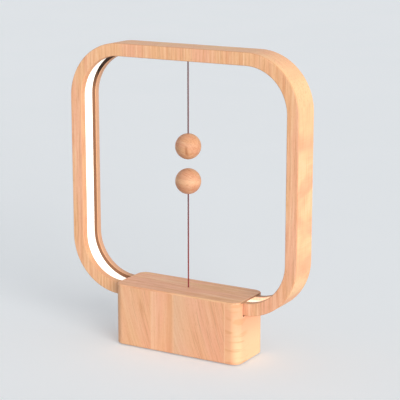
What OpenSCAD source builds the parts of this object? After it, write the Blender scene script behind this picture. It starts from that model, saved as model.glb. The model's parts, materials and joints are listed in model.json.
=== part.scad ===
// Magnetic balance lamp: a rounded-square wooden ring with a glowing groove stands in a wooden base.
// One ball hangs from the top of the ring, the other is held up by a magnet and pulls the switch.
// Millimetres. +Z is up, the front is -Y, and the origin is on the table under the middle of the base.

/* [Ring] */
// Outer width of the ring
ring_w = 240; // [220:1:270]
// Outer height of the ring
ring_h = 240; // [225:1:270]
// Outer radius of the ring's corners
ring_corner_r = 53; // [44:1:60]
// Thickness of the band, from its inner to its outer face
ring_band = 12; // [11:0.5:15]
// Depth of the ring, front to back
ring_depth = 30; // [26:1:32]
// Rounding of the ring's long edges
ring_edge_r = 1; // [0.5:0.1:1.5]
// Width of the light groove
groove_w = 17; // [14:0.5:19]
// Depth of the light groove
groove_depth = 8; // [7.5:0.25:9]
// How far the bottom bar's solid middle, without a groove, reaches from the middle
solid_reach = 34; // [33:0.5:35]

/* [Light] */
// How far the diffuser's face lies behind the groove's mouth
diffuser_recess = 3.5; // [2.5:0.25:4]
// Thickness of the diffuser's face
diffuser_t = 1.8; // [1.2:0.1:2]
// Thickness of the diffuser's two legs
diffuser_leg_t = 1.2; // [0.8:0.1:1.6]
// Where the diffuser ends under the base's top, from the middle
diffuser_end = 47; // [45:0.5:52]
// Width of the flexible strip
strip_w = 8; // [6:0.5:9]
// Thickness of the flexible strip
strip_t = 0.3; // [0.2:0.05:0.4]
// Where the strip ends under the base's top, from the middle
strip_end = 41; // [40.5:0.5:44]
// Length of one light chip, along the strip
chip_l = 3.5; // [2.8:0.1:4]
// Width of one light chip
chip_w = 2.8; // [2:0.1:3.5]
// Height of one light chip
chip_t = 0.8; // [0.6:0.1:1]
// Spacing of the chips along the straight runs
chip_pitch = 16.6; // [14:0.2:20]

/* [Balls and cords] */
// Diameter of both balls
ball_d = 24; // [22:0.5:28]
// Gap between the balls when the magnets hold them
ball_gap = 8.7; // [5:0.1:14]
// Free length of the upper cord, from the diffuser's face to the ball
upper_cord_len = 71.6; // [60:0.2:90]
// Diameter of the cords
cord_d = 1.4; // [1:0.1:1.6]
// Diameter of the magnets
magnet_d = 9; // [8:0.25:10]
// Height of the magnets
magnet_h = 5; // [4:0.25:6]
// Wood left between a magnet and the ball's surface
magnet_skin = 2; // [1.5:0.1:2.5]
// Diameter of the wooden plug that closes a ball
ball_plug_d = 10; // [9.5:0.1:11]
// Distance of the plug's inner end from the ball's centre
ball_plug_seat = 4; // [3.5:0.25:5]
// Diameter of the knots at the ends of the cords
knot_d = 3.2; // [2.6:0.1:3.6]
// Height of those knots
knot_h = 3; // [2.5:0.1:3.5]
// Diameter of the sleeve that anchors the upper cord
anchor_d = 4; // [3.4:0.1:4.6]
// Length of that sleeve inside the wood
anchor_depth = 2.8; // [2:0.1:3]
// Height of the sleeve's collar
anchor_collar_h = 0.8; // [0.6:0.1:1.2]

/* [Base] */
// Length of the base
base_l = 134; // [130:1:160]
// Width of the base, front to back
base_w = 50; // [48:1:60]
// Height of the base's top over the table
base_h = 60; // [58:0.5:66]
// Radius of the base's upright corners
base_corner_r = 8.5; // [6:0.5:11]
// Rounding of the base's top and bottom edges
base_edge_r = 1.2; // [0.8:0.1:1.2]
// Thickness of the panel that covers the slot
panel_t = 1.5; // [1.5:0.1:2.5]
// Gap between the ring and each side of its slot
slot_gap = 0.3; // [0.2:0.05:0.5]
// Wood between the slot and the cavity
web_t = 8.5; // [7:0.25:10]
// Wood at each end of the cavity
end_wall = 17; // [14:0.5:18]
// Wood in front of and behind the cavity
side_wall = 8; // [7.5:0.25:9]
// Radius of the cavity's upright corners
cavity_r = 5; // [4:0.5:6]
// Diameter of the hole that the lower cord runs through
cord_hole_d = 2.6; // [2.4:0.1:3.2]
// Diameter of the hole for the light's leads
lead_hole_d = 4.6; // [4.2:0.1:5]
// Distance of that hole from the middle
lead_hole_x = 38; // [37.5:0.25:38]

/* [Underside] */
// Thickness of the bottom plate
plate_t = 2.5; // [2:0.1:3]
// How far the bottom plate reaches over the cavity's ends
plate_over_end = 10; // [9:0.5:11]
// How far the bottom plate reaches over the cavity's sides
plate_over_side = 3; // [2:0.25:4]
// Gap round the bottom plate
plate_gap = 0.3; // [0.2:0.05:0.5]
// Diameter of the rubber feet
foot_d = 9; // [8:0.5:10]
// Height of the rubber feet
foot_t = 1; // [0.8:0.1:1.5]
// Distance of the feet from the plate's screws, along the base
foot_inset = 12; // [11:0.5:13]
// Distance of the feet from the middle, front to back
foot_y = 13.5; // [12:0.5:14]
// Length of one ballast weight
ballast_l = 20; // [16:0.5:22]
// Width of one ballast weight
ballast_w = 28; // [22:1:30]
// Height of one ballast weight
ballast_h = 12; // [8:0.5:14]
// Gap between each ballast weight and the cavity's end
ballast_gap = 4; // [3:0.5:5]

/* [Power board] */
// Length of the circuit board
board_l = 34; // [32:1:36]
// Width of the circuit board
board_w = 21.7; // [20:0.1:22]
// Thickness of the circuit board
board_t = 1.6; // [1:0.2:2]
// Height of the posts that carry the board
board_post_h = 8.3; // [7.5:0.1:9]
// Diameter of those posts
board_post_d = 5; // [4.5:0.1:6]
// Width of the power socket
socket_w = 8.94; // [8.5:0.02:9.5]
// Height of the power socket
socket_h = 3.26; // [3:0.02:3.6]
// Depth of the power socket
socket_depth = 7.3; // [6.8:0.1:8]
// Wall of the power socket's shell
socket_wall = 0.3; // [0.2:0.05:0.4]
// Width of the recess for the plug
recess_w = 14; // [13:0.5:16]
// Height of the recess for the plug
recess_h = 9; // [8.5:0.5:11]
// Depth of the recess for the plug
recess_depth = 4.8; // [4.4:0.1:5.2]

/* [Pull switch] */
// Travel of the plunger, from light on to light off
plunger_travel = 1.5; // [1:0.1:1.6]
// Diameter of the plunger's stem
stem_d = 5; // [4:0.1:5.4]
// Length of the plunger's stem over its flange
stem_l = 19.5; // [18:0.5:20]
// Diameter of the plunger's flange
flange_d = 13; // [12.6:0.1:13.6]
// Thickness of the plunger's flange
flange_t = 2; // [1.5:0.1:2.5]
// Running clearance of the stem in its bush, on the radius
bush_clearance = 0.05; // [0.03:0.01:0.1]
// Outer diameter of the bush
bush_d = 8; // [7.5:0.1:9]
// Diameter of the bush's collar
bush_collar_d = 14; // [12:0.2:15]
// Thickness of the bush's collar
bush_collar_t = 2; // [1.5:0.1:2.5]
// Length of the return spring with the light on
spring_l = 11; // [10:0.25:12]
// Diameter of the spring's wire
spring_wire_d = 0.6; // [0.4:0.05:0.7]
// Diameter of the spring, measured at the middle of its wire
spring_d = 8.2; // [7.6:0.1:8.4]
// Turns of the spring between its closed end turns
spring_turns = 4; // [3:1:5]
// Length of the switch's body
switch_l = 12.8; // [12:0.1:14]
// Width of the switch's body, front to back
switch_w = 5.8; // [5.4:0.1:7]
// Height of the switch's body
switch_h = 6.5; // [6:0.1:7]
// Distance of the switch's near end from the plunger's axis
switch_x = 8; // [8:0.1:8.5]
// Thickness of the switch's lever
lever_t = 0.3; // [0.2:0.05:0.4]
// Width of the switch's lever
lever_w = 3.2; // [2.6:0.1:3.3]
// Distance of the lever's tip from the plunger's axis
lever_tip_x = 5.2; // [5:0.1:5.4]
// Diameter of the lever's pin
lever_pin_d = 0.8; // [0.6:0.05:1]
// Diameter of the switch's button
button_d = 1.4; // [1:0.1:1.8]
// Thickness of the bracket that carries the switch
bracket_t = 1.5; // [1.2:0.1:2]

/* [Hidden] */
$fn = 64;
// Clearances: between moving pieces, round screws, glued pieces and the board, and overshoot of cuts
move_gap = 0.3;
screw_gap = 0.1;
glue_gap = 0.05;
board_gap = 0.3;
over = 1;
// Overlap of shapes that are fused, and half of the flat that is left on a fully round end
weld = 0.001;
end_flat = 0.01;

// Ring, from the table up
ring_z0 = base_h - panel_t - ring_band;
ring_mid_z = ring_z0 + ring_h / 2;
ring_top_in = ring_z0 + ring_h - ring_band;
bar_top = ring_z0 + ring_band;
bar_floor = bar_top - groove_depth;
inner_r = ring_corner_r - ring_band;
corner_x = ring_w / 2 - ring_corner_r;
corner_z = ring_h / 2 - ring_corner_r;

// Light
diffuser_w = groove_w - 2 * glue_gap;
diffuser_z = ring_top_in + diffuser_recess;
strip_z = ring_top_in + groove_depth - strip_t;
strip_hole_d = anchor_d + 2 * move_gap;

// Balls and cords
ball_r = ball_d / 2;
upper_ball_z = diffuser_z - upper_cord_len - ball_r;
lower_ball_z = upper_ball_z - ball_d - ball_gap;
bend_gap = 0.05;
bend_drop = 0.9;
bend_rise = 0.4;
upper_bend_z = diffuser_z - bend_drop;
lower_bend_z = base_h + plunger_travel + bend_rise;
cord_bore_d = cord_d + 2 * screw_gap;
cord_sides = 8;
cord_ring_step = 2.5 * cord_d;
anchor_top = ring_top_in + groove_depth + anchor_depth;
anchor_end_wall = 0.6;
anchor_collar_lip = 0.6;
knot_bulge = 1.1;

// Base
block_z0 = foot_t;
block_h = base_h - panel_t - block_z0;
slot_w = ring_depth + 2 * slot_gap;
cavity_l = base_l - 2 * end_wall;
cavity_w = base_w - 2 * side_wall;
cavity_top = ring_z0 - web_t;
plate_top = block_z0 + plate_t;
plate_l = cavity_l + 2 * plate_over_end;
plate_w = cavity_w + 2 * plate_over_side;
plate_r = cavity_r + plate_over_side;
plate_screw_x = cavity_l / 2 + plate_over_end / 2;
plate_screw_edge = 10;
plate_screw_y = plate_w / 2 - plate_screw_edge;
ring_screw_edge = 7;
ring_screw_x = solid_reach - ring_screw_edge;
foot_x = plate_screw_x - foot_inset;
ballast_x = cavity_l / 2 - ballast_gap - ballast_l / 2;
ballast_r = 1.5;
panel_edge_t = 0.3;

// Screws: shank, head and length of each kind, and the cross slot as a share of its head's height
wood_screw_d = 3;
wood_screw_head = 6;
wood_screw_l = 14;
ring_screw_l = 16;
ballast_screw_d = 3;
ballast_screw_l = 9;
small_screw_d = 2;
small_screw_head = 3.8;
small_head_h = 1.3;
board_screw_l = 6;
bracket_screw_l = 7;
drive_w = 0.6;
small_drive_w = 0.5;
drive_share = 0.6;

// Power board
board_z = plate_top + board_post_h;
board_y1 = cavity_w / 2 - board_gap;
board_y0 = board_y1 - board_w;
board_top = board_z + board_t;
board_post_edge = 3;
board_post_x = board_l / 2 - board_post_edge;
board_post_ys = [board_y0 + board_post_edge, board_y1 - board_post_edge];
socket_z = board_top + socket_h / 2;
regulator = [5, 4, 1.5];
coil = [4.5, 4.5, 2];
coil_end = 5;
coil_gap = 1.5;
part_row_y = 5.5;
capacitor_x = 11;
capacitor_y = 12.5;
capacitor_d = 4;
capacitor_h = 4;
resistor = [1.2, 2, 0.6];
resistors = 4;
resistor_x = 3.2;
resistor_y = 10.5;
resistor_pitch = 2.4;
socket_back_t = 1;
socket_y1 = base_w / 2 - recess_depth;
socket_hole_gap = 0.2;

// Pull switch, down from the web's underside
bush_bottom = cavity_top - bush_collar_t;
flange_top = bush_bottom - spring_l;
flange_bottom = flange_top - flange_t;
bush_bore_d = stem_d + 2 * bush_clearance;
lever_gap = 0.3;
eye_wall = 0.5;
eye_r = lever_pin_d / 2 + eye_wall;
pin_z = flange_top + lever_gap + lever_t / 2;
pin_edge = 0.5;
pin_x = switch_x + switch_l - pin_edge;
switch_z = pin_z + eye_r + move_gap;
switch_top = switch_z + switch_h;
ear_w = 0.9;
ear_y = lever_w / 2 + move_gap;
pin_l = 2 * (ear_y + ear_w);
button_arm = 4.3;
button_x = pin_x - button_arm;
button_up = 2;
terminal_t = 0.5;
terminal_w = 1.6;
terminal_h = 3;
terminal_edge = 1.6;
terminal_xs = [switch_x + terminal_edge, switch_x + switch_l / 2, switch_x + switch_l - terminal_edge];
switch_hole_edge = 3.1;
switch_hole_xs = [switch_x + switch_hole_edge, switch_x + switch_l - switch_hole_edge];
switch_hole_drop = 1.8;
switch_hole_z = switch_top - switch_hole_drop;
switch_screw_head = 3;
switch_screw_head_h = 0.8;
switch_screw_end = 1;
bracket_y = switch_w / 2;
bracket_side = 0.5;
bracket_reach = 9;
bracket_screw_edge = 3;
bracket_screw_xs = [switch_x + bracket_screw_edge, switch_x + switch_l - bracket_screw_edge];
bracket_screw_y = bracket_y + bracket_t + bracket_reach / 2;

// Leads: diameter and routes, each from a soldered end to a soldered end on the board.
// The light's route is given as [x, z] and the switch's as [y, z].
lead_d = 1.1;
lead_steps = 3;
led_lead_ys = [-1, 1];
led_pad_x = 12;
led_pad_spread = 1.2;
led_pad_in = 9;
led_pad_y = board_y0 + led_pad_in;
led_lead_stand = 2;
led_lead_route = [
    [lead_hole_x + 4, bar_floor + 2.5], [lead_hole_x + 2, bar_floor + 3.1], [lead_hole_x, bar_floor + 1.5],
    [lead_hole_x, ring_z0 + 1.5], [lead_hole_x, cavity_top + 4], [lead_hole_x - 0.5, cavity_top - 2],
    [lead_hole_x - 4, (cavity_top + board_top) / 2], [led_pad_x + 13, board_top + 7.6],
    [led_pad_x + 6, board_top + 5.6], [led_pad_x + 2, board_top + 4.6]
];
switch_pad_xs = [6.5, 9.5];
switch_pad_in = 1.8;
switch_pad_y = board_y0 + switch_pad_in;
switch_lead_out = 5;
switch_lead_y = -switch_w / 2 - switch_lead_out;
switch_lead_stand = 1.5;
switch_lead_route = [
    [-switch_w / 2, switch_top + 2.2], [switch_lead_y + 2, switch_top + 0.8],
    [switch_lead_y, switch_z + 2], [switch_lead_y, switch_z - 4],
    [switch_lead_y + 2, board_top + 5.6], [switch_pad_y - 0.8, board_top + 3.6]
];

// Colours
beech = "#e8b48c";
beech_light = "#efc39b";
milk_white = "#fffdf6";
cord_red = "#8c3c2d";
steel = "#b8bcc0";
brass = "#c9a24b";
black_plastic = "#2b2b2d";
board_green = "#2f6b46";

// ---------------------------------------------------------------- shapes

// Rectangle with round corners, centred
module rounded_rect(w, h, r) {
    square([w - 2 * r, h], center = true);
    square([w, h - 2 * r], center = true);
    for (x = [-1, 1], y = [-1, 1])
        translate([x * (w / 2 - r), y * (h / 2 - r)])
            circle(r);
}

// Upright profile with its own rounding at the top and the bottom, standing on y = 0
module edge_profile(w, h, top_r, bottom_r) {
    translate([-w / 2, bottom_r])
        square([w, h - top_r - bottom_r]);
    translate([-w / 2 + top_r, bottom_r])
        square([w - 2 * top_r, h - bottom_r]);
    translate([-w / 2 + bottom_r, 0])
        square([w - 2 * bottom_r, h - top_r]);
    intersection() {
        translate([-w / 2, 0])
            square([w, h]);
        for (side = [-1, 1]) {
            if (top_r > 0)
                translate([side * (w / 2 - top_r), h - top_r])
                    circle(top_r);
            if (bottom_r > 0)
                translate([side * (w / 2 - bottom_r), bottom_r])
                    circle(bottom_r);
        }
    }
}

// Block with round upright corners and rounded top or bottom edges
module soft_slab(l, w, h, corner_r, top_r, bottom_r) {
    for (x = [-1, 1], y = [-1, 1])
        translate([x * (l / 2 - corner_r), y * (w / 2 - corner_r), 0])
            rotate_extrude()
                intersection() {
                    edge_profile(2 * corner_r, h, top_r, bottom_r);
                    square([corner_r, h]);
                }
    translate([-l / 2 + corner_r, 0, 0])
        rotate([90, 0, 90])
            linear_extrude(l - 2 * corner_r)
                edge_profile(w, h, top_r, bottom_r);
    translate([0, w / 2 - corner_r, 0])
        rotate([90, 0, 0])
            linear_extrude(w - 2 * corner_r)
                edge_profile(l, h, top_r, bottom_r);
}

// Carries a flat section round the ring: its x runs outwards from the inner face, its y across the depth
module around_ring() {
    translate([0, 0, ring_mid_z])
        rotate([90, 0, 0]) {
            for (mx = [0, 1], mz = [0, 1])
                mirror([mx, 0, 0])
                    mirror([0, mz, 0])
                        translate([corner_x, corner_z, 0])
                            rotate_extrude(angle = 90)
                                translate([inner_r, 0])
                                    children();
            for (mx = [0, 1])
                mirror([mx, 0, 0])
                    translate([ring_w / 2 - ring_band, corner_z, 0])
                        rotate([90, 0, 0])
                            linear_extrude(2 * corner_z)
                                children();
            for (mz = [0, 1])
                mirror([0, mz, 0])
                    translate([-corner_x, ring_h / 2 - ring_band, 0])
                        rotate([90, 0, 90])
                            linear_extrude(2 * corner_x)
                                children();
        }
}

// Cross slot in a screw's head, cut upwards from z = 0
module cross_slot(head_d, head_h, w) {
    for (turn = [0, 90])
        rotate([0, 0, turn])
            translate([-head_d / 4, -w / 2, -over])
                cube([head_d / 2, w, over + head_h * drive_share]);
}

// Countersunk screw: its flat head lies at z = 0 and its shank points up
module countersunk_screw(d, head_d, length) {
    head_h = (head_d - d) / 2;
    difference() {
        union() {
            cylinder(h = head_h, d1 = head_d, d2 = d);
            cylinder(h = length, d = d);
        }
        cross_slot(head_d, head_h, drive_w);
    }
}

// The hole for such a screw, with its seat
module countersunk_hole(d, head_d, length) {
    head_h = (head_d - d) / 2;
    cylinder(h = head_h, d1 = head_d, d2 = d);
    translate([0, 0, -over])
        cylinder(h = over + weld, d = head_d);
    cylinder(h = length, d = d + 2 * screw_gap);
}

// Screw with a flat round head: the head's seat lies at z = 0 and the shank points up
module pan_screw(d, head_d, head_h, length) {
    difference() {
        union() {
            translate([0, 0, -head_h])
                cylinder(h = head_h, d = head_d);
            cylinder(h = length, d = d);
        }
        translate([0, 0, -head_h])
            cross_slot(head_d, head_h, small_drive_w);
    }
}

// Where each kind of screw and post stands
module at_ring_screws(z) {
    for (side = [-1, 1])
        translate([side * ring_screw_x, 0, z])
            children();
}

module at_plate_screws(z) {
    for (x = [-1, 1], y = [-1, 1])
        translate([x * plate_screw_x, y * plate_screw_y, z])
            children();
}

module at_ballast(z) {
    for (x = [-1, 1])
        translate([x * ballast_x, 0, z])
            children();
}

module at_board_posts(z) {
    for (x = [-1, 1], y = board_post_ys)
        translate([x * board_post_x, y, z])
            children();
}

// ---------------------------------------------------------------- cords and wires

function unit(v) = v / norm(v);
function along(points, i) = unit(points[min(i + 1, len(points) - 1)] - points[max(i - 1, 0)]);
function square_to(v, t) = unit(v - (v * t) * t);

// Normals carried along a route without twist
function carried(points, start) = [
    for (i = 0, n = square_to(start, along(points, 0)); i < len(points);
         i = i + 1, n = i < len(points) ? square_to(n, along(points, i)) : n) n
];

// Tube of diameter d swept along its own points
module swept_tube(points, d, sides, start) {
    normals = carried(points, start);
    rings = len(points);
    corners = [
        for (i = [0 : rings - 1])
            let (n = normals[i], b = cross(along(points, i), n))
                for (k = [0 : sides - 1])
                    points[i] + d / 2 * (cos(360 * k / sides) * n + sin(360 * k / sides) * b)
    ];
    skin = [
        for (i = [0 : rings - 2], k = [0 : sides - 1])
            let (a = i * sides + k, b = i * sides + (k + 1) % sides)
                each [[a, a + sides, b], [b, a + sides, b + sides]]
    ];
    near_cap = [for (k = [1 : sides - 2]) [0, k, k + 1]];
    far = (rings - 1) * sides;
    far_cap = [for (k = [1 : sides - 2]) [far, far + k + 1, far + k]];
    polyhedron(concat(corners), concat(skin, near_cap, far_cap), convexity = 6);
}

// Smooth route through hand-set points
function blend4(a, b, c, d, t) =
    0.5 * (2 * b + (c - a) * t + (2 * a - 5 * b + 4 * c - d) * t * t + (3 * b - 3 * c + d - a) * t * t * t);
function smooth_route(p, steps) = [
    for (i = [0 : len(p) - 2], s = [0 : steps - 1])
        blend4(p[max(i - 1, 0)], p[i], p[i + 1], p[min(i + 2, len(p) - 1)], s / steps),
    p[len(p) - 1]
];

// Route that leaves its first point and meets its last point straight
function soldered_route(p, steps) =
    let (last = len(p) - 1)
        concat([p[0]], smooth_route([for (i = [1 : last - 1]) p[i]], steps), [p[last]]);

// Points of a straight cord on the lamp's axis
function upright_route(z0, z1) =
    let (count = ceil((z1 - z0) / cord_ring_step))
        [for (i = [0 : count]) [0, 0, z0 + (z1 - z0) * i / count]];

module upright_cord(z0, z1) {
    color(cord_red)
        swept_tube(upright_route(z0, z1), cord_d, cord_sides, [1, 0, 0]);
}

// ---------------------------------------------------------------- wooden parts

// Slot that the ring's bottom bar lies in, open at the top and at both ends
module ring_slot() {
    corner = ring_edge_r + slot_gap;
    translate([-base_l / 2 - over, 0, ring_z0])
        rotate([90, 0, 90])
            linear_extrude(base_l + 2 * over)
                difference() {
                    translate([-slot_w / 2, 0])
                        square([slot_w, ring_band + over]);
                    for (side = [-1, 1])
                        difference() {
                            translate([side * (slot_w / 2 - corner / 2), corner / 2])
                                square(corner, center = true);
                            translate([side * (slot_w / 2 - corner), corner])
                                circle(corner);
                        }
                }
}

module rounded_pocket(l, w, h, r) {
    linear_extrude(h)
        rounded_rect(l, w, r);
}

module base_block() {
    color(beech)
        difference() {
            translate([0, 0, block_z0])
                soft_slab(base_l, base_w, block_h, base_corner_r, 0, base_edge_r);
            ring_slot();
            translate([0, 0, block_z0 - over])
                rounded_pocket(cavity_l, cavity_w, cavity_top - block_z0 + over, cavity_r);
            translate([0, 0, block_z0 - over])
                rounded_pocket(plate_l + 2 * plate_gap, plate_w + 2 * plate_gap, plate_t + over,
                    plate_r + plate_gap);
            translate([0, 0, cavity_top - over])
                cylinder(h = web_t + 2 * over, d = bush_d + 2 * glue_gap);
            at_ring_screws(cavity_top)
                countersunk_hole(wood_screw_d, wood_screw_head, ring_screw_l);
            translate([lead_hole_x, 0, cavity_top - over])
                cylinder(h = web_t + 2 * over, d = lead_hole_d);
            at_plate_screws(plate_top - over)
                cylinder(h = wood_screw_l - plate_t + over + screw_gap,
                    d = wood_screw_d + 2 * screw_gap);
            for (x = bracket_screw_xs)
                translate([x, bracket_screw_y, cavity_top - over])
                    cylinder(h = bracket_screw_l - bracket_t + over + screw_gap,
                        d = small_screw_d + 2 * screw_gap);
            translate([0, base_w / 2 + over, socket_z])
                rotate([90, 0, 0])
                    linear_extrude(recess_depth + over)
                        rounded_rect(recess_w, recess_h, recess_h / 2 - end_flat);
            translate([0, base_w / 2, socket_z])
                rotate([90, 0, 0])
                    linear_extrude(side_wall + over)
                        rounded_rect(socket_w + 2 * socket_hole_gap, socket_h + 2 * socket_hole_gap,
                            socket_h / 2);
        }
}

module base_top_panel() {
    color(beech)
        difference() {
            translate([0, 0, base_h - panel_t])
                soft_slab(base_l, base_w, panel_t, base_corner_r,
                    min(base_edge_r, panel_t - panel_edge_t), 0);
            translate([0, 0, base_h - panel_t - over])
                cylinder(h = panel_t + 2 * over, d = cord_hole_d);
        }
}

module ring_section() {
    difference() {
        translate([ring_band / 2, 0])
            rounded_rect(ring_band, ring_depth, ring_edge_r);
        translate([-over, -groove_w / 2])
            square([groove_depth + over, groove_w]);
    }
}

module ring_frame() {
    color(beech_light)
        difference() {
            union() {
                around_ring()
                    ring_section();
                translate([-solid_reach, -groove_w / 2, bar_floor])
                    cube([2 * solid_reach, groove_w, groove_depth]);
            }
            translate([0, 0, ring_z0 - over])
                cylinder(h = ring_band + 2 * over, d = cord_hole_d);
            at_ring_screws(ring_z0 - over)
                cylinder(h = ring_screw_l - web_t + over + screw_gap, d = wood_screw_d + 2 * screw_gap);
            translate([lead_hole_x, 0, ring_z0 - over])
                cylinder(h = ring_band, d = lead_hole_d);
            translate([0, 0, ring_top_in + groove_depth - over])
                cylinder(h = anchor_depth + over, d = anchor_d + 2 * glue_gap);
        }
}

// ---------------------------------------------------------------- light

module diffuser_section() {
    translate([diffuser_recess, -diffuser_w / 2])
        square([diffuser_t, diffuser_w]);
    for (side = [-1, 1])
        translate([diffuser_recess, side * (diffuser_w - diffuser_leg_t) / 2 - diffuser_leg_t / 2])
            square([groove_depth - diffuser_recess, diffuser_leg_t]);
}

// Block that ends a strip at a distance from the middle of the bottom bar
module bottom_cut(end_x) {
    translate([-end_x, -ring_depth / 2, ring_z0])
        cube([2 * end_x, ring_depth, 2 * ring_band]);
}

module diffuser() {
    color(milk_white)
        difference() {
            around_ring()
                diffuser_section();
            bottom_cut(diffuser_end);
            translate([0, 0, diffuser_z - over])
                cylinder(h = diffuser_t + 2 * over, d = cord_hole_d);
        }
}

module led_strip() {
    color("#f2f0e8")
        difference() {
            around_ring()
                translate([groove_depth - strip_t, -strip_w / 2])
                    square([strip_t, strip_w]);
            bottom_cut(strip_end);
            translate([0, 0, strip_z - over])
                cylinder(h = strip_t + 2 * over, d = strip_hole_d);
        }
}

// One chip on the strip: z runs inwards from the strip's face, x along the strip
module chip() {
    translate([-chip_l / 2, -chip_w / 2, 0])
        cube([chip_l, chip_w, chip_t]);
}

// Whole chips on each side of a straight run's middle, none on the middle itself
function half_run(half_length) =
    [for (i = [0 : floor((half_length - chip_l / 2) / chip_pitch - 0.5)]) (i + 0.5) * chip_pitch];

module led_chips() {
    strip_depth = groove_depth - strip_t;
    strip_r = inner_r + strip_depth;
    chip_r = sqrt(strip_r * strip_r - chip_l * chip_l / 4);
    corner_count = max(2, round(strip_r * PI / 2 / chip_pitch));
    color("#f4e27a")
        for (side = [-1, 1]) {
            for (x = half_run(corner_x))
                translate([side * x, 0, ring_top_in + strip_depth])
                    mirror([0, 0, 1])
                        chip();
            for (x = half_run(corner_x))
                if (x - chip_l / 2 > strip_end)
                    translate([side * x, 0, bar_floor + strip_t])
                        chip();
            for (z = half_run(corner_z), up = [-1, 1])
                translate([side * (ring_w / 2 - ring_band + strip_depth), 0, ring_mid_z + up * z])
                    rotate([0, -side * 90, 0])
                        chip();
            for (up = [-1, 1], i = [0 : corner_count - 1])
                translate([side * corner_x, 0, ring_mid_z + up * corner_z])
                    mirror([side < 0 ? 1 : 0, 0, 0])
                        mirror([0, 0, up < 0 ? 1 : 0])
                            rotate([0, -90 * (i + 0.5) / corner_count, 0])
                                translate([chip_r, 0, 0])
                                    rotate([0, -90, 0])
                                        chip();
        }
}

module led_leads() {
    strip_pad_x = led_lead_route[0][0];
    strip_top = bar_floor + strip_t;
    color("#b03030")
        for (y = led_lead_ys) {
            pad_x = led_pad_x + led_pad_spread * y;
            middle = [for (p = led_lead_route) [p[0], y, p[1]]];
            route = concat([[strip_pad_x, y, strip_top], [strip_pad_x, y, strip_top + lead_d]], middle,
                [[pad_x, led_pad_y, board_top + led_lead_stand], [pad_x, led_pad_y, board_top]]);
            swept_tube(soldered_route(route, lead_steps), lead_d, cord_sides, [0, 1, 0]);
        }
}

// ---------------------------------------------------------------- fastenings and underside

module ring_screws() {
    color(steel)
        at_ring_screws(cavity_top)
            countersunk_screw(wood_screw_d, wood_screw_head, ring_screw_l);
}

module bottom_plate() {
    color(black_plastic)
        difference() {
            union() {
                translate([0, 0, block_z0])
                    rounded_pocket(plate_l, plate_w, plate_t, plate_r);
                at_board_posts(plate_top - weld)
                    cylinder(h = board_post_h + weld, d = board_post_d);
            }
            at_plate_screws(block_z0)
                countersunk_hole(wood_screw_d, wood_screw_head, wood_screw_l);
            at_ballast(block_z0)
                countersunk_hole(ballast_screw_d, wood_screw_head, ballast_screw_l);
            at_board_posts(plate_top)
                cylinder(h = board_post_h + over, d = small_screw_d + 2 * screw_gap);
        }
}

module bottom_plate_screws() {
    color(steel)
        at_plate_screws(block_z0)
            countersunk_screw(wood_screw_d, wood_screw_head, wood_screw_l);
}

module rubber_feet() {
    color("#3a3a3c")
        for (x = [-1, 1], y = [-1, 1])
            translate([x * foot_x, y * foot_y, 0])
                cylinder(h = foot_t, d = foot_d);
}

module ballast_weights() {
    color("#6f7479")
        at_ballast(plate_top)
            difference() {
                rounded_pocket(ballast_l, ballast_w, ballast_h, ballast_r);
                translate([0, 0, -over])
                    cylinder(h = ballast_screw_l - plate_t + over + screw_gap,
                        d = ballast_screw_d + 2 * screw_gap);
            }
}

module ballast_screws() {
    color(steel)
        at_ballast(block_z0)
            countersunk_screw(ballast_screw_d, wood_screw_head, ballast_screw_l);
}

// ---------------------------------------------------------------- power board

module circuit_board() {
    color(board_green)
        difference() {
            translate([-board_l / 2, board_y0, board_z])
                cube([board_l, board_w, board_t]);
            at_board_posts(board_z - over)
                cylinder(h = board_t + 2 * over, d = small_screw_d + 2 * screw_gap);
        }
}

module circuit_board_screws() {
    color(steel)
        at_board_posts(board_top)
            mirror([0, 0, 1])
                pan_screw(small_screw_d, small_screw_head, small_head_h, board_screw_l);
}

// Regulator, coil, capacitor and resistors, each standing on the board
module board_components() {
    color("#3c3f44")
        translate([0, board_y0, board_top]) {
            translate([-regulator[0] - coil_end, part_row_y, 0])
                cube(regulator);
            translate([-coil_end + coil_gap, part_row_y, 0])
                cube(coil);
            translate([-capacitor_x, capacitor_y, 0])
                cylinder(h = capacitor_h, d = capacitor_d);
            for (i = [0 : resistors - 1])
                translate([resistor_x + resistor_pitch * i, resistor_y, 0])
                    cube(resistor);
        }
}

module socket_outline(shrink) {
    rounded_rect(socket_w - 2 * shrink, socket_h - 2 * shrink, socket_h / 2 - shrink - end_flat);
}

module power_socket_shell() {
    color(steel)
        translate([0, socket_y1, socket_z])
            rotate([90, 0, 0])
                difference() {
                    linear_extrude(socket_depth)
                        socket_outline(0);
                    translate([0, 0, -over])
                        linear_extrude(socket_depth - socket_back_t + over)
                            socket_outline(socket_wall);
                }
}

module power_socket_tongue() {
    tongue_w = 6.7;
    tongue_t = 0.7;
    tongue_back = 0.8;
    color(black_plastic)
        translate([-tongue_w / 2, socket_y1 - socket_depth + socket_back_t, socket_z - tongue_t / 2])
            cube([tongue_w, socket_depth - socket_back_t - tongue_back, tongue_t]);
}

// ---------------------------------------------------------------- pull switch

module guide_bush() {
    color(brass)
        difference() {
            union() {
                translate([0, 0, bush_bottom])
                    cylinder(h = bush_collar_t, d = bush_collar_d);
                translate([0, 0, cavity_top - weld])
                    cylinder(h = web_t + weld, d = bush_d);
            }
            translate([0, 0, bush_bottom - over])
                cylinder(h = bush_collar_t + web_t + 2 * over, d = bush_bore_d);
        }
}

module pull_plunger() {
    color("#e9e6df")
        difference() {
            union() {
                translate([0, 0, flange_bottom])
                    cylinder(h = flange_t, d = flange_d);
                translate([0, 0, flange_top - weld])
                    cylinder(h = stem_l + weld, d = stem_d);
            }
            translate([0, 0, flange_bottom - over])
                cylinder(h = stem_l + flange_t + 2 * over, d = cord_bore_d);
        }
}

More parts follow.
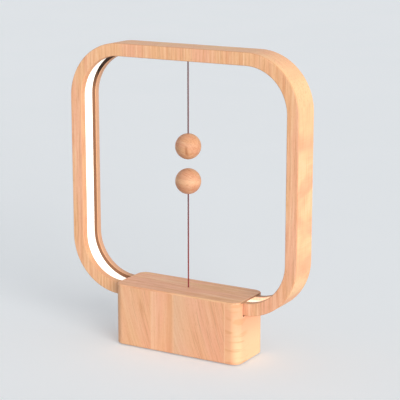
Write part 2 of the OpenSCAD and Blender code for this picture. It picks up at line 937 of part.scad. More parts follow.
// Height of the spring's wire after so many turns: closed end turns, open turns between them
function spring_height(turn) =
    let (closed = spring_wire_d + glue_gap,
         z0 = flange_top + spring_wire_d / 2 + glue_gap,
         z1 = bush_bottom - spring_wire_d / 2,
         open_rise = z1 - z0 - 2 * closed)
        turn <= 1 ? z0 + closed * turn
        : turn >= spring_turns + 1 ? z1 - closed * (spring_turns + 2 - turn)
        : z0 + closed + open_rise * (turn - 1) / spring_turns;

module return_spring() {
    steps_per_turn = 16;
    wire_sides = 6;
    points = [
        for (i = [0 : steps_per_turn * (spring_turns + 2)])
            let (turn = i / steps_per_turn)
                [spring_d / 2 * cos(360 * turn), spring_d / 2 * sin(360 * turn), spring_height(turn)]
    ];
    color(steel)
        swept_tube(points, spring_wire_d, wire_sides, [0, 0, 1]);
}

// Barrel-shaped knot with flat ends, standing on z = 0
module knot() {
    color(cord_red)
        intersection() {
            translate([0, 0, knot_h / 2])
                sphere(d = knot_d * knot_bulge);
            cylinder(h = knot_h, d = knot_d);
        }
}

module plunger_knot() {
    translate([0, 0, flange_bottom - knot_h])
        knot();
}

module lower_cord_tail() {
    upright_cord(flange_bottom, lower_bend_z - cord_d / 2 - bend_gap);
}

module switch_bracket() {
    bracket_l = switch_l + 2 * bracket_side;
    bracket_x = switch_x - bracket_side;
    color("#9aa0a6")
        difference() {
            union() {
                translate([bracket_x, bracket_y, switch_z])
                    cube([bracket_l, bracket_t, cavity_top - switch_z]);
                translate([bracket_x, bracket_y + bracket_t - weld, cavity_top - bracket_t])
                    cube([bracket_l, bracket_reach, bracket_t]);
            }
            for (x = switch_hole_xs)
                translate([x, bracket_y - over, switch_hole_z])
                    rotate([-90, 0, 0])
                        cylinder(h = bracket_t + 2 * over, d = small_screw_d + 2 * screw_gap);
            for (x = bracket_screw_xs)
                translate([x, bracket_screw_y, cavity_top - bracket_t - over])
                    cylinder(h = bracket_t + 2 * over, d = small_screw_d + 2 * screw_gap);
        }
}

module bracket_screws() {
    color(steel)
        for (x = bracket_screw_xs)
            translate([x, bracket_screw_y, cavity_top - bracket_t])
                pan_screw(small_screw_d, small_screw_head, small_head_h, bracket_screw_l);
}

module switch_body() {
    ear_drop = switch_z - pin_z + eye_r;
    color(black_plastic)
        difference() {
            union() {
                translate([switch_x, -switch_w / 2, switch_z])
                    cube([switch_l, switch_w, switch_h]);
                for (side = [-1, 1])
                    translate([pin_x - eye_r, side * (ear_y + ear_w / 2) - ear_w / 2, switch_z - ear_drop])
                        cube([eye_r + pin_edge, ear_w, ear_drop + weld]);
            }
            translate([pin_x, -pin_l / 2 - over, pin_z])
                rotate([-90, 0, 0])
                    cylinder(h = pin_l + 2 * over, d = lever_pin_d);
            translate([button_x, 0, switch_z - over])
                cylinder(h = over + button_up + move_gap, d = button_d + 2 * bush_clearance);
            for (x = switch_hole_xs)
                translate([x, -switch_w / 2 - over, switch_hole_z])
                    rotate([-90, 0, 0])
                        cylinder(h = switch_w + 2 * over, d = small_screw_d + 2 * screw_gap);
        }
}

module switch_screws() {
    color(steel)
        for (x = switch_hole_xs)
            translate([x, -switch_w / 2, switch_hole_z])
                rotate([-90, 0, 0])
                    pan_screw(small_screw_d, switch_screw_head, switch_screw_head_h,
                        switch_w + bracket_t + switch_screw_end);
}

module switch_terminals() {
    color(brass)
        for (x = terminal_xs)
            translate([x - terminal_w / 2, -terminal_t / 2, switch_top])
                cube([terminal_w, terminal_t, terminal_h]);
}

module switch_lever_pin() {
    color(steel)
        translate([pin_x, -pin_l / 2, pin_z])
            rotate([-90, 0, 0])
                cylinder(h = pin_l, d = lever_pin_d);
}

// Spring-steel strip with an eye round its pin and a rolled tip over the plunger's flange
module switch_lever() {
    tip_r = 0.5;
    color(steel)
        difference() {
            union() {
                translate([lever_tip_x + tip_r, -lever_w / 2, pin_z - lever_t / 2])
                    cube([pin_x - lever_tip_x - tip_r, lever_w, lever_t]);
                translate([lever_tip_x + tip_r, -lever_w / 2, pin_z - lever_t / 2 + tip_r])
                    rotate([-90, 0, 0])
                        cylinder(h = lever_w, r = tip_r);
                translate([pin_x, -lever_w / 2, pin_z])
                    rotate([-90, 0, 0])
                        cylinder(h = lever_w, r = eye_r);
            }
            translate([pin_x, -lever_w / 2 - over, pin_z])
                rotate([-90, 0, 0])
                    cylinder(h = lever_w + 2 * over, d = lever_pin_d + 2 * bush_clearance);
        }
}

module switch_button() {
    button_z = pin_z + lever_t / 2 + glue_gap;
    color("#c23b2e")
        translate([button_x, 0, button_z])
            cylinder(h = switch_z + button_up - button_z, d = button_d);
}

module switch_leads() {
    color("#303236")
        for (i = [0, 1]) {
            x0 = terminal_xs[i];
            x1 = switch_pad_xs[i];
            last = len(switch_lead_route) - 1;
            middle = [
                for (k = [0 : last])
                    [x0 + (x1 - x0) * k / last, switch_lead_route[k][0], switch_lead_route[k][1]]
            ];
            route = concat([
                    [x0, -terminal_t / 2, switch_top + terminal_h / 2],
                    [x0, -terminal_t / 2 - lead_d, switch_top + terminal_h / 2]
                ], middle,
                [[x1, switch_pad_y, board_top + switch_lead_stand], [x1, switch_pad_y, board_top]]);
            swept_tube(soldered_route(route, lead_steps), lead_d, cord_sides, [1, 0, 0]);
        }
}

// ---------------------------------------------------------------- balls on their cords

// Wooden ball about its centre, bored from above for its magnet, its knot and its plug
module bored_ball() {
    color(beech_light)
        difference() {
            sphere(d = ball_d);
            translate([0, 0, -ball_r + magnet_skin])
                cylinder(h = ball_d, d = magnet_d + 2 * glue_gap);
            translate([0, 0, ball_plug_seat])
                cylinder(h = ball_d, d = ball_plug_d + 2 * glue_gap);
        }
}

module ball_plug() {
    color(beech)
        intersection() {
            sphere(d = ball_d);
            difference() {
                translate([0, 0, ball_plug_seat])
                    cylinder(h = ball_r, d = ball_plug_d);
                cylinder(h = ball_d, d = cord_bore_d);
            }
        }
}

module ball_magnet() {
    color("#c9ccd1")
        translate([0, 0, -ball_r + magnet_skin])
            cylinder(h = magnet_h, d = magnet_d);
}

module at_upper_ball() {
    translate([0, 0, upper_ball_z])
        children();
}

// The lower ball is the same ball turned over
module at_lower_ball() {
    translate([0, 0, lower_ball_z])
        mirror([0, 0, 1])
            children();
}

module ball_knot() {
    translate([0, 0, ball_plug_seat - knot_h])
        knot();
}

module cord_bend(z) {
    color(cord_red)
        translate([0, 0, z])
            sphere(d = cord_d);
}

// Brass sleeve in the top of the ring that the upper cord is crimped in
module upper_cord_anchor() {
    color(brass)
        difference() {
            union() {
                translate([0, 0, strip_z - anchor_collar_h])
                    cylinder(h = anchor_collar_h, d = strip_hole_d + 2 * anchor_collar_lip);
                translate([0, 0, strip_z - weld])
                    cylinder(h = anchor_top - strip_z + weld, d = anchor_d);
            }
            translate([0, 0, strip_z - anchor_collar_h - over])
                cylinder(h = anchor_top - anchor_end_wall - strip_z + anchor_collar_h + over,
                    d = cord_bore_d);
        }
}

module upper_cord_tail() {
    upright_cord(upper_bend_z + cord_d / 2 + bend_gap, anchor_top - anchor_end_wall);
}

module upper_cord() {
    upright_cord(upper_ball_z + ball_plug_seat, upper_bend_z - cord_d / 2 - bend_gap);
}

module lower_cord() {
    upright_cord(lower_bend_z + cord_d / 2 + bend_gap, lower_ball_z - ball_plug_seat);
}

// ---------------------------------------------------------------- all nodes

base_block();
base_top_panel();
ring_frame();
diffuser();
led_strip();
led_chips();
ring_screws();
bottom_plate();
bottom_plate_screws();
rubber_feet();
ballast_weights();
ballast_screws();
circuit_board();
circuit_board_screws();
board_components();
power_socket_shell();
power_socket_tongue();
guide_bush();
pull_plunger();
return_spring();
plunger_knot();
lower_cord_tail();
switch_bracket();
bracket_screws();
switch_body();
switch_screws();
switch_terminals();
switch_lever();
switch_lever_pin();
switch_button();
switch_leads();
led_leads();
cord_bend(lower_bend_z);  // lower_cord_bend
lower_cord();
at_lower_ball() bored_ball();  // lower_ball
at_lower_ball() ball_plug();  // lower_ball_plug
at_lower_ball() ball_magnet();  // lower_magnet
at_lower_ball() ball_knot();  // lower_ball_knot
upper_cord_anchor();
upper_cord_tail();
cord_bend(upper_bend_z);  // upper_cord_bend
upper_cord();
at_upper_ball() bored_ball();  // upper_ball
at_upper_ball() ball_plug();  // upper_ball_plug
at_upper_ball() ball_magnet();  // upper_magnet
at_upper_ball() ball_knot();  // upper_ball_knot
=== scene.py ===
# %% [markdown]
# # A lamp whose two balls switch it on
# A rounded-square wooden ring stands in a wooden base. A milky strip glows in a groove round its inside.
# One wooden ball hangs from the top on a red cord, and a second one is held up under it by a magnet.
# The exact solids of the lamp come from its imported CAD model, and this lesson dresses them.

# %% Load the exact model
import json
import math

import bmesh
import bpy
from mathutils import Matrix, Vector


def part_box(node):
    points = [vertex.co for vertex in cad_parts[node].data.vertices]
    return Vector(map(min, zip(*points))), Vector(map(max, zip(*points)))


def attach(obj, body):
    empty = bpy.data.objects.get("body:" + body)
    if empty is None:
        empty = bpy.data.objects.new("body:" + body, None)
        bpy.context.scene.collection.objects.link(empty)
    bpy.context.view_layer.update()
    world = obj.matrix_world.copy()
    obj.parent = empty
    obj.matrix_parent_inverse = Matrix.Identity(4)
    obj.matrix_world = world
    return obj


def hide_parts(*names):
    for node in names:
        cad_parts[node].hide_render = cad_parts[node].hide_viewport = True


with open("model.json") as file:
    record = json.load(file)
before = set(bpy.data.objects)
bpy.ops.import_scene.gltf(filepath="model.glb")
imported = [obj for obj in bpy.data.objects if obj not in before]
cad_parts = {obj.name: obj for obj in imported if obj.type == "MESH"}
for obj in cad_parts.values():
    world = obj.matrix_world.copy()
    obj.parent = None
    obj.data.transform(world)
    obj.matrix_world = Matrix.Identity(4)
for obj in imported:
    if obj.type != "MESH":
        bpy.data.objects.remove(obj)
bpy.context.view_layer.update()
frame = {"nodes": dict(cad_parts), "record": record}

MM = 0.001

# %% [markdown]
# The camera comes first, so that every later step can be judged from the place the photograph was taken.
# It could be placed by eye, but the corners of the ring and the base fix it better: a long lens, 1.3 m away,
# a little above the lamp and to its right. Blender wants the lens in millimetres on a 36 mm wide sensor.

# %% Camera
CAMERA_AT = Vector((0.64698, -1.08766, 0.43674))
CAMERA_LOOKS_AT = Vector((0.01257, 0.0, 0.14525))
LENS = 126.318

camera_data = bpy.data.cameras.new("camera")
camera_data.sensor_width = 36
camera_data.lens = LENS
camera = bpy.data.objects.new("camera", camera_data)
camera.location = CAMERA_AT
camera.rotation_euler = (CAMERA_LOOKS_AT - CAMERA_AT).to_track_quat("-Z", "Y").to_euler()
bpy.context.collection.objects.link(camera)
bpy.context.scene.camera = camera
print("camera distance in m:", round((CAMERA_AT - CAMERA_LOOKS_AT).length, 3))

# %% [markdown]
# All modelling below is done with Blender's own operators, as by hand. An operator works on whatever is
# selected, so these helpers clear the selection, start a primitive with its place kept in its mesh, and
# pick corners, edges or faces by where they are.

# %% Modelling helpers
SMOOTH_BELOW = 35
DOUBLES_WITHIN = 0.002 * MM


def leave_edit_mode():
    bpy.ops.object.mode_set(mode="OBJECT")


def nothing_selected():
    if bpy.context.mode != "OBJECT":
        leave_edit_mode()
    bpy.ops.object.select_all(action="DESELECT")


def begin(name, primitive, spans, at=(0, 0, 0), **choices):
    """A primitive of that size at that place, in millimetres, named and ready for edit mode."""
    nothing_selected()
    getattr(bpy.ops.mesh, f"primitive_{primitive}_add")(location=Vector(at) * MM, **choices)
    piece = bpy.context.object
    piece.name = piece.data.name = name
    piece.scale = [span * MM for span in spans]
    bpy.ops.object.transform_apply(location=True, rotation=True, scale=True)
    bpy.ops.object.mode_set(mode="EDIT")
    return piece


def make_active(piece):
    nothing_selected()
    bpy.context.view_layer.objects.active = piece
    piece.select_set(True)


def pick(kind, test):
    """Selects the corners, edges or faces all of whose corners pass the test, given in millimetres."""
    bpy.ops.mesh.select_mode(type=kind)
    bpy.ops.mesh.select_all(action="DESELECT")
    data = bpy.context.edit_object.data
    mesh = bmesh.from_edit_mesh(data)
    for part in {"VERT": mesh.verts, "EDGE": mesh.edges, "FACE": mesh.faces}[kind]:
        corners = [part] if kind == "VERT" else part.verts
        if test([corner.co / MM for corner in corners]):
            part.select_set(True)
    bmesh.update_edit_mesh(data)


def pick_all():
    bpy.ops.mesh.select_all(action="SELECT")


def near(a, b, tolerance=0.02):
    return abs(a - b) < tolerance


def done(piece, smooth_below=SMOOTH_BELOW):
    """Leaves edit mode with the faces pointing outwards and the curved ones smooth."""
    pick_all()
    bpy.ops.mesh.remove_doubles(threshold=DOUBLES_WITHIN)
    bpy.ops.mesh.normals_make_consistent(inside=False)
    leave_edit_mode()
    bpy.ops.object.shade_smooth_by_angle(angle=math.radians(smooth_below))
    return piece


def cut(piece, *tools):
    """Takes the tools' shapes out of the piece, and removes the tools."""
    make_active(piece)
    for tool in tools:
        step = piece.modifiers.new("cut", "BOOLEAN")
        step.operation = "DIFFERENCE"
        step.solver = "EXACT"
        step.object = tool
        bpy.ops.object.modifier_apply(modifier=step.name)
        bpy.data.objects.remove(tool)


def rod(name, diameter, z0, z1, at=(0, 0)):
    """An upright round rod, made to cut holes with."""
    piece = begin(name, "cylinder", (diameter, diameter, z1 - z0), (*at, (z0 + z1) / 2), vertices=32,
                  radius=0.5, depth=1)
    leave_edit_mode()
    return piece


# %% [markdown]
# ## The cords
# Each cord is three strands of red yarn twisted round each other, 1.4 mm thick in all, pulled straight by
# its ball. A plain tube would do from far away, but close by the twist is what makes it a cord. Three small
# circles that just touch, carried up a screw, give it at once. The camera can see both from end to end.

# %% Cords
CORD_D = 1.4
STRAND_R = CORD_D / 2 / (1 + 2 / math.sqrt(3))
STRAND_SHIFT = CORD_D / 2 - STRAND_R
CORD_LAY = 4.2
STEPS_PER_TURN = 14
CORD_NODES = ("upper_cord", "lower_cord", "upper_cord_tail", "lower_cord_tail")


def twisted_cord(name, z0, z1):
    """Three strands twisted round the lamp's axis, from one height to the other."""
    strands = begin(name, "circle", (STRAND_R * 2,) * 3, (STRAND_SHIFT, 0, z0), vertices=8, radius=0.5)
    pick_all()
    for _ in range(2):
        bpy.ops.mesh.duplicate()
        bpy.ops.transform.rotate(value=math.radians(120), orient_axis="Z", center_override=(0, 0, z0 * MM))
    leave_edit_mode()
    turns = (z1 - z0) / CORD_LAY
    twist = strands.modifiers.new("twist", "SCREW")
    twist.angle = math.radians(360 * turns)
    twist.screw_offset = (z1 - z0) * MM
    twist.steps = twist.render_steps = math.ceil(turns * STEPS_PER_TURN)
    twist.use_smooth_shade = True
    bpy.ops.object.modifier_apply(modifier=twist.name)
    bpy.ops.object.mode_set(mode="EDIT")
    for end in (z0, z1):
        pick("EDGE", lambda ends: all(near(p.z, end, 0.001) for p in ends))
        bpy.ops.mesh.edge_face_add()
    return done(strands, smooth_below=60)


cords = {}
for node in CORD_NODES:
    low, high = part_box(node)
    cords[node] = twisted_cord(node.replace("cord", "cord_strands"), low.z / MM, high.z / MM)
    print(node, "mm:", round((high.z - low.z) / MM, 2), "faces:", len(cords[node].data.polygons))

# %% [markdown]
# The tails of the cords lie inside the ring and the base. Each twisted cord moves with the ball, the base or
# the plunger that holds it, and the imported cord it stands for is hidden.

# %% What the cords are
for node, leaves_upwards in (("upper_cord", False), ("lower_cord", True)):
    low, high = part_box(node)
for node, body in (("upper_cord", "upper_ball"), ("lower_cord", "lower_ball"), ("upper_cord_tail", "root"),
                   ("lower_cord_tail", "plunger")):
    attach(cords[node], body)
    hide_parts(node)
print("cords:", len(cords))

# %% [markdown]
# ## The wooden ring
# On the real lamp the ring is cut from light beech and a groove is milled round its inside. It is one
# section carried round a rounded square, so it could be a curve with a bevel object. Here the section is
# drawn from a plane, its faces are taken away, and the outline is spun round each corner and extruded along
# each straight run, which gives even faces and keeps the groove's corners sharp.

# %% Sizes of the ring
RING_LOW, RING_HIGH = (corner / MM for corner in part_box("ring_frame"))
RING_BAND = 12
RING_DEPTH = RING_HIGH.y - RING_LOW.y
RING_EDGE_R = 1
CORNER_R = 53
GROOVE_W = 17
GROOVE_DEPTH = 8
MOUTH_R = 0.35
CORNER_STEPS = 28
INNER_X = RING_HIGH.x - RING_BAND
CORNER_X = RING_HIGH.x - CORNER_R
LOW_CORNER_Z = RING_LOW.z + CORNER_R
HIGH_CORNER_Z = RING_HIGH.z - CORNER_R
RUN_X = 2 * CORNER_X
RUN_Z = HIGH_CORNER_Z - LOW_CORNER_Z
print("straight runs in mm:", round(RUN_X, 2), round(RUN_Z, 2))


# %% Sections and the way round the ring
def channel_section(name, depth_from, depth_to, width, hollow_from, hollow_to, hollow_w):
    """A flat rectangle with a hollow, at the top of the right leg: its depths run out from the inner face."""
    size = (depth_to - depth_from, width, 1)
    piece = begin(name, "plane", size, (INNER_X + (depth_from + depth_to) / 2, 0, HIGH_CORNER_Z), size=1)
    for x, y, normal in ((INNER_X + hollow_from, 0, (1, 0, 0)), (INNER_X + hollow_to, 0, (1, 0, 0)),
                         (0, hollow_w / 2, (0, 1, 0)), (0, -hollow_w / 2, (0, 1, 0))):
        pick_all()
        bpy.ops.mesh.bisect(plane_co=(x * MM, y * MM, 0), plane_no=normal)
    pick("FACE", lambda ps: all(hollow_from - 0.01 < p.x - INNER_X < hollow_to + 0.01
                                and abs(p.y) < hollow_w / 2 + 0.01 for p in ps))
    bpy.ops.mesh.delete(type="FACE")
    pick_all()
    bpy.ops.mesh.dissolve_limited(angle_limit=math.radians(1))
    return piece


def round_points(radius, steps, test):
    """Rounds the corners of a flat section."""
    pick("VERT", lambda ps: test(ps[0]))
    bpy.ops.mesh.bevel(offset=radius * MM, offset_type="OFFSET", segments=steps, affect="VERTICES")


def carry_round():
    """Carries the section's outline once round the rounded square and closes it on itself."""
    pick_all()
    bpy.ops.mesh.delete(type="ONLY_FACE")
    bpy.ops.mesh.select_mode(type="EDGE")
    pick_all()
    for x, z, run in ((CORNER_X, HIGH_CORNER_Z, (-RUN_X, 0, 0)), (-CORNER_X, HIGH_CORNER_Z, (0, 0, -RUN_Z)),
                      (-CORNER_X, LOW_CORNER_Z, (RUN_X, 0, 0)), (CORNER_X, LOW_CORNER_Z, (0, 0, RUN_Z))):
        bpy.ops.mesh.spin(steps=CORNER_STEPS, angle=math.radians(90), use_auto_merge=False,
                          center=(x * MM, 0, z * MM), axis=(0, 1, 0))
        bpy.ops.mesh.extrude_region_move(TRANSFORM_OT_translate={"value": Vector(run) * MM})


# %% Ring
ring = channel_section("ring_wood", 0, RING_BAND, RING_DEPTH, 0, GROOVE_DEPTH, GROOVE_W)
round_points(RING_EDGE_R, 5, lambda p: near(abs(p.y), RING_DEPTH / 2))
round_points(MOUTH_R, 2, lambda p: near(p.x, INNER_X) and near(abs(p.y), GROOVE_W / 2))
carry_round()
done(ring)
print("ring faces:", len(ring.data.polygons), "size in mm:", [round(d / MM, 2) for d in ring.dimensions])

# %% [markdown]
# The groove isn't cut in the middle of the bottom bar, where the pull switch goes through the wood. That
# stretch is filled with a block of its own, a little longer than the base's hidden screws are apart, and the
# cord's hole goes through it.

# %% Solid middle of the bottom bar
SOLID_REACH = 34
SOLID_MARGIN = 0.4
CORD_HOLE_D = 2.6
OVER = 1
BAR_TOP = RING_LOW.z + RING_BAND
middle = begin("bar_middle", "cube", (2 * SOLID_REACH, GROOVE_W, GROOVE_DEPTH),
               (0, 0, BAR_TOP - GROOVE_DEPTH / 2), size=1)
pick("FACE", lambda ps: all(near(p.z, BAR_TOP) for p in ps))
bpy.ops.mesh.inset(thickness=SOLID_MARGIN * MM, depth=0)
done(middle)
for piece in (middle, ring):
    cut(piece, rod("cord_hole", CORD_HOLE_D, RING_LOW.z - OVER, BAR_TOP + OVER))
make_active(ring)
middle.select_set(True)
bpy.ops.object.join()
print("ring with its middle:", len(ring.data.polygons), "faces")

# %% [markdown]
# ## The milky strip
# A white extrusion with two legs lies in the groove, 3.5 mm behind its mouth, and hides the light chips. It
# is made like the ring, from its own section. It ends a little inside the base at both sides, so the part
# of it that lies in the bottom bar is cut out, and the two ends are closed.

# %% Diffuser
DIFFUSER_RECESS = 3.5
DIFFUSER_T = 1.8
DIFFUSER_LEG = 1.2
DIFFUSER_W = GROOVE_W - 0.1
DIFFUSER_END = 47
DIFFUSER_EDGE_R = 0.3
glow = channel_section("diffuser_strip", DIFFUSER_RECESS, GROOVE_DEPTH, DIFFUSER_W,
                       DIFFUSER_RECESS + DIFFUSER_T, GROOVE_DEPTH, DIFFUSER_W - 2 * DIFFUSER_LEG)
round_points(DIFFUSER_EDGE_R, 2,
             lambda p: near(p.x, INNER_X + DIFFUSER_RECESS) and near(abs(p.y), DIFFUSER_W / 2))
carry_round()
pick_all()
bpy.ops.mesh.remove_doubles(threshold=DOUBLES_WITHIN)
for side in (-1, 1):
    pick("FACE", lambda ps: all(p.z < BAR_TOP + 0.1 and abs(p.x) < CORNER_X + 0.1 for p in ps))
    bpy.ops.mesh.bisect(plane_co=(side * DIFFUSER_END * MM, 0, 0), plane_no=(1, 0, 0))
pick("FACE", lambda ps: all(p.z < BAR_TOP + 0.1 and abs(p.x) < DIFFUSER_END + 0.1 for p in ps))
bpy.ops.mesh.delete(type="FACE")
for side in (-1, 1):
    pick("EDGE", lambda ps: all(near(p.x, side * DIFFUSER_END) and p.z < BAR_TOP + 0.1 for p in ps))
    bpy.ops.mesh.edge_face_add()
done(glow)
glow_low_z = RING_HIGH.z - RING_BAND + DIFFUSER_RECESS
cut(glow, rod("cord_hole", CORD_HOLE_D, glow_low_z - OVER, glow_low_z + DIFFUSER_T + OVER))
print("diffuser faces:", len(glow.data.polygons))

# %% [markdown]
# ## The base
# The base is a beech block with round upright corners and softened bottom edges. A slot runs through it
# from end to end for the ring's bottom bar, and a thin panel with the same outline closes it from above.
# The outline starts as a cube whose edges are bevelled, and the slot, the cavity and the recess for the
# power plug are cut out of it, because all of them have plain shapes that a cutter shows best. At each end
# the slot is eased a little wider, where the wood would else be too sharp to last.

# %% Base block
BLOCK_LOW, BLOCK_HIGH = (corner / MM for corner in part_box("base_block"))
BLOCK_SIZE = BLOCK_HIGH - BLOCK_LOW
BASE_CORNER_R = 8.5
BASE_EDGE_R = 1.2


def soft_box(name, low, high, radius, steps, along="z"):
    """A cube between two corners, with the edges along one axis rounded. It stays in edit mode."""
    size = Vector(high) - Vector(low)
    piece = begin(name, "cube", size, (Vector(high) + Vector(low)) / 2, size=1)
    others = [axis for axis in "xyz" if axis != along]
    pick("EDGE", lambda ps: all(near(getattr(ps[0], axis), getattr(ps[1], axis)) for axis in others))
    bpy.ops.mesh.bevel(offset=radius * MM, segments=steps, affect="EDGES")
    return piece


def round_rim(z, radius, steps):
    """Rounds the rim of a block at that height."""
    pick("EDGE", lambda ps: all(near(p.z, z) for p in ps))
    bpy.ops.mesh.bevel(offset=radius * MM, segments=steps, affect="EDGES")


block = soft_box("base_block_wood", BLOCK_LOW, BLOCK_HIGH, BASE_CORNER_R, 12)
round_rim(BLOCK_LOW.z, BASE_EDGE_R, 4)
done(block)
print("block in mm:", [round(v, 2) for v in BLOCK_SIZE])

# %% Slot, cavity and recess
SLOT_W = RING_DEPTH + 0.6
SLOT_CORNER_R = 1.3
EASED_REACH = 3
EASED_SIDE = 1
EASED_BELOW = 0.9
EASED_R = 2.4
CAVITY = (100, 34, 38)
CAVITY_R = 5
REBATE = (120.6, 40.6, 3.5)
REBATE_R = 8.3
PLUG_RECESS = (14, 9)
PLUG_RECESS_R = 4.49
SOCKET = (9.34, 3.66)
SOCKET_R = 1.63
SOCKET_Z = 15.03
BUSH_HOLE_D = 8.1
LEAD_HOLE_D = 4.6
LEAD_HOLE_X = 38
FLOOR_OF_RECESS_Y = BLOCK_HIGH.y - 4.8


def cutter(name, low, high, radius, steps, along="z"):
    """A soft box to cut with."""
    piece = soft_box(name, low, high, radius, steps, along)
    leave_edit_mode()
    return piece


def pocket(name, size, radius, steps):
    """Cuts upwards from under the block."""
    half_x, half_y = size[0] / 2, size[1] / 2
    return cutter(name, (-half_x, -half_y, -OVER), (half_x, half_y, size[2]), radius, steps)


def back_hole(name, size, y0, y1, radius, steps):
    """Cuts along y, round the middle of the power socket."""
    half_x, half_z = size[0] / 2, size[1] / 2
    low, high = (-half_x, y0, SOCKET_Z - half_z), (half_x, y1, SOCKET_Z + half_z)
    return cutter(name, low, high, radius, steps, "y")


def eased_mouth(side):
    """Cuts the slot wider where it leaves the block."""
    x0, x1 = sorted(side * (BLOCK_HIGH.x + reach) for reach in (-EASED_REACH, EASED_REACH))
    half_w = SLOT_W / 2 + EASED_SIDE
    low, high = (x0, -half_w, RING_LOW.z - EASED_BELOW), (x1, half_w, BLOCK_HIGH.z + OVER)
    return cutter("slot_mouth", low, high, EASED_R, 5, "x")


slot = begin("slot", "cube", (BLOCK_SIZE.x + 2 * OVER, SLOT_W, RING_BAND + OVER),
             (0, 0, RING_LOW.z + (RING_BAND + OVER) / 2), size=1)
pick("EDGE", lambda ps: all(near(p.z, RING_LOW.z) for p in ps) and near(ps[0].y, ps[1].y))
bpy.ops.mesh.bevel(offset=SLOT_CORNER_R * MM, segments=5, affect="EDGES")
leave_edit_mode()

mouths = [eased_mouth(side) for side in (-1, 1)]
cavity = pocket("cavity", CAVITY, CAVITY_R, 6)
rebate = pocket("rebate", REBATE, REBATE_R, 8)
recess = back_hole("recess", PLUG_RECESS, FLOOR_OF_RECESS_Y, BLOCK_HIGH.y + OVER, PLUG_RECESS_R, 10)
socket_hole = back_hole("socket_hole", SOCKET, CAVITY[1] / 2 - OVER, FLOOR_OF_RECESS_Y + OVER, SOCKET_R, 6)
bush_hole = rod("bush_hole", BUSH_HOLE_D, CAVITY[2] - OVER, RING_LOW.z + OVER)
lead_hole = rod("lead_hole", LEAD_HOLE_D, CAVITY[2] - OVER, RING_LOW.z + OVER, at=(LEAD_HOLE_X, 0))
cut(block, slot, *mouths, cavity, rebate, recess, socket_hole, bush_hole, lead_hole)
print("block faces:", len(block.data.polygons))

# %% [markdown]
# The panel on top of the base is a separate, thin board: its grain runs along the base, while the block's
# grain stands upright. Its top edge is rounded as far as its thickness allows.

# %% Top panel
PANEL_LOW, PANEL_HIGH = (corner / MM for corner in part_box("base_top_panel"))
panel = soft_box("base_top_wood", PANEL_LOW, PANEL_HIGH, BASE_CORNER_R, 12)
round_rim(PANEL_HIGH.z, BASE_EDGE_R, 5)
done(panel)
cut(panel, rod("cord_hole", CORD_HOLE_D, PANEL_LOW.z - OVER, PANEL_HIGH.z + OVER))
print("panel faces:", len(panel.data.polygons))

# %% [markdown]
# Sanding breaks every sharp edge, and the thin bright line along such an edge is what shows that it is wood.
# A Bevel modifier limited by angle finds them all. A smooth edge also bends the shading of the flat face
# beside it, which then looks dented in a low light. Weighted normals turn it back towards the large faces.

# %% Softened edges
SANDED = 0.18
SHARP_ABOVE = 40


def soften(piece):
    """Breaks every sharp edge a little."""
    make_active(piece)
    bevel = piece.modifiers.new("sanded", "BEVEL")
    bevel.width = SANDED * MM
    bevel.segments = 2
    bevel.limit_method = "ANGLE"
    bevel.angle_limit = math.radians(SHARP_ABOVE)
    bevel.use_clamp_overlap = True
    bpy.ops.object.modifier_apply(modifier=bevel.name)
    bpy.ops.object.shade_smooth_by_angle(angle=math.radians(SMOOTH_BELOW))


def shade_flats(piece):
    """Makes the flat faces shade flat right up to their rounded edges."""
    make_active(piece)
    weighted = piece.modifiers.new("flats", "WEIGHTED_NORMAL")
    weighted.keep_sharp = True
    bpy.ops.object.modifier_apply(modifier=weighted.name)


for piece in (block, panel):
    soften(piece)
    print(piece.name, "softened:", len(piece.data.polygons), "faces")
for piece in (block, panel, ring, glow):
    shade_flats(piece)

# %% [markdown]
# ## Turned pieces
# The balls and their plugs come off a lathe, and the rubber feet are as round. A lathe is easy to copy: half
# of the outline is drawn as a chain of corners, and the chain is spun once round the axis. The bore for the
# magnet and the knot is part of the same outline, so each ball is one closed skin.

# %% Lathe
def turned(name, outline, centre_z, flip=1, steps=64, closed=False):
    """Spins an outline of (radius, height) corners round the lamp's axis. flip is -1 to turn it over.

    The chain starts as a plane that is merged into one corner, and each step extrudes the last corner.
    """
    piece = begin(name, "plane", (1, 1, 1), (outline[0][0], 0, centre_z + flip * outline[0][1]), size=1)
    bpy.ops.mesh.select_mode(type="VERT")
    pick_all()
    bpy.ops.mesh.merge(type="CENTER")
    corners = list(outline) + ([outline[0]] if closed else [])
    for (r0, z0), (r1, z1) in zip(corners, corners[1:]):
        step = Vector((r1 - r0, 0, flip * (z1 - z0))) * MM
        bpy.ops.mesh.extrude_region_move(TRANSFORM_OT_translate={"value": step})
    pick_all()
    bpy.ops.mesh.spin(steps=steps, angle=math.radians(360), use_auto_merge=True,
                      center=(0, 0, centre_z * MM), axis=(0, 0, 1))
    return done(piece)


def arc(radius, from_degrees, to_degrees, steps):
    """Corners on a circle round the ball's centre, counted from its top."""
    angles = [math.radians(from_degrees + (to_degrees - from_degrees) * i / steps) for i in range(steps + 1)]
    return [(radius * math.sin(a), radius * math.cos(a)) for a in angles]


# %% Balls and plugs
BALL_R = 12
PLUG_R = 5
PLUG_SEAT = 4
MAGNET_BORE_R = 4.55
MAGNET_FLOOR = -10
CORD_BORE_R = 0.8
PLUG_FIT = 0.05
SEAM = 0.14
EYE_DROP = 0.25


def ball_outline():
    bore_r = PLUG_R + PLUG_FIT
    mouth = math.degrees(math.asin((bore_r + SEAM) / BALL_R))
    mouth_z = math.sqrt(BALL_R ** 2 - bore_r ** 2) - SEAM
    inside = [(0, MAGNET_FLOOR), (MAGNET_BORE_R, MAGNET_FLOOR), (MAGNET_BORE_R, PLUG_SEAT),
              (bore_r, PLUG_SEAT), (bore_r, mouth_z)]
    outside = arc(BALL_R, mouth, 180, 40)
    return inside + outside[:-1] + [(0, -BALL_R)]


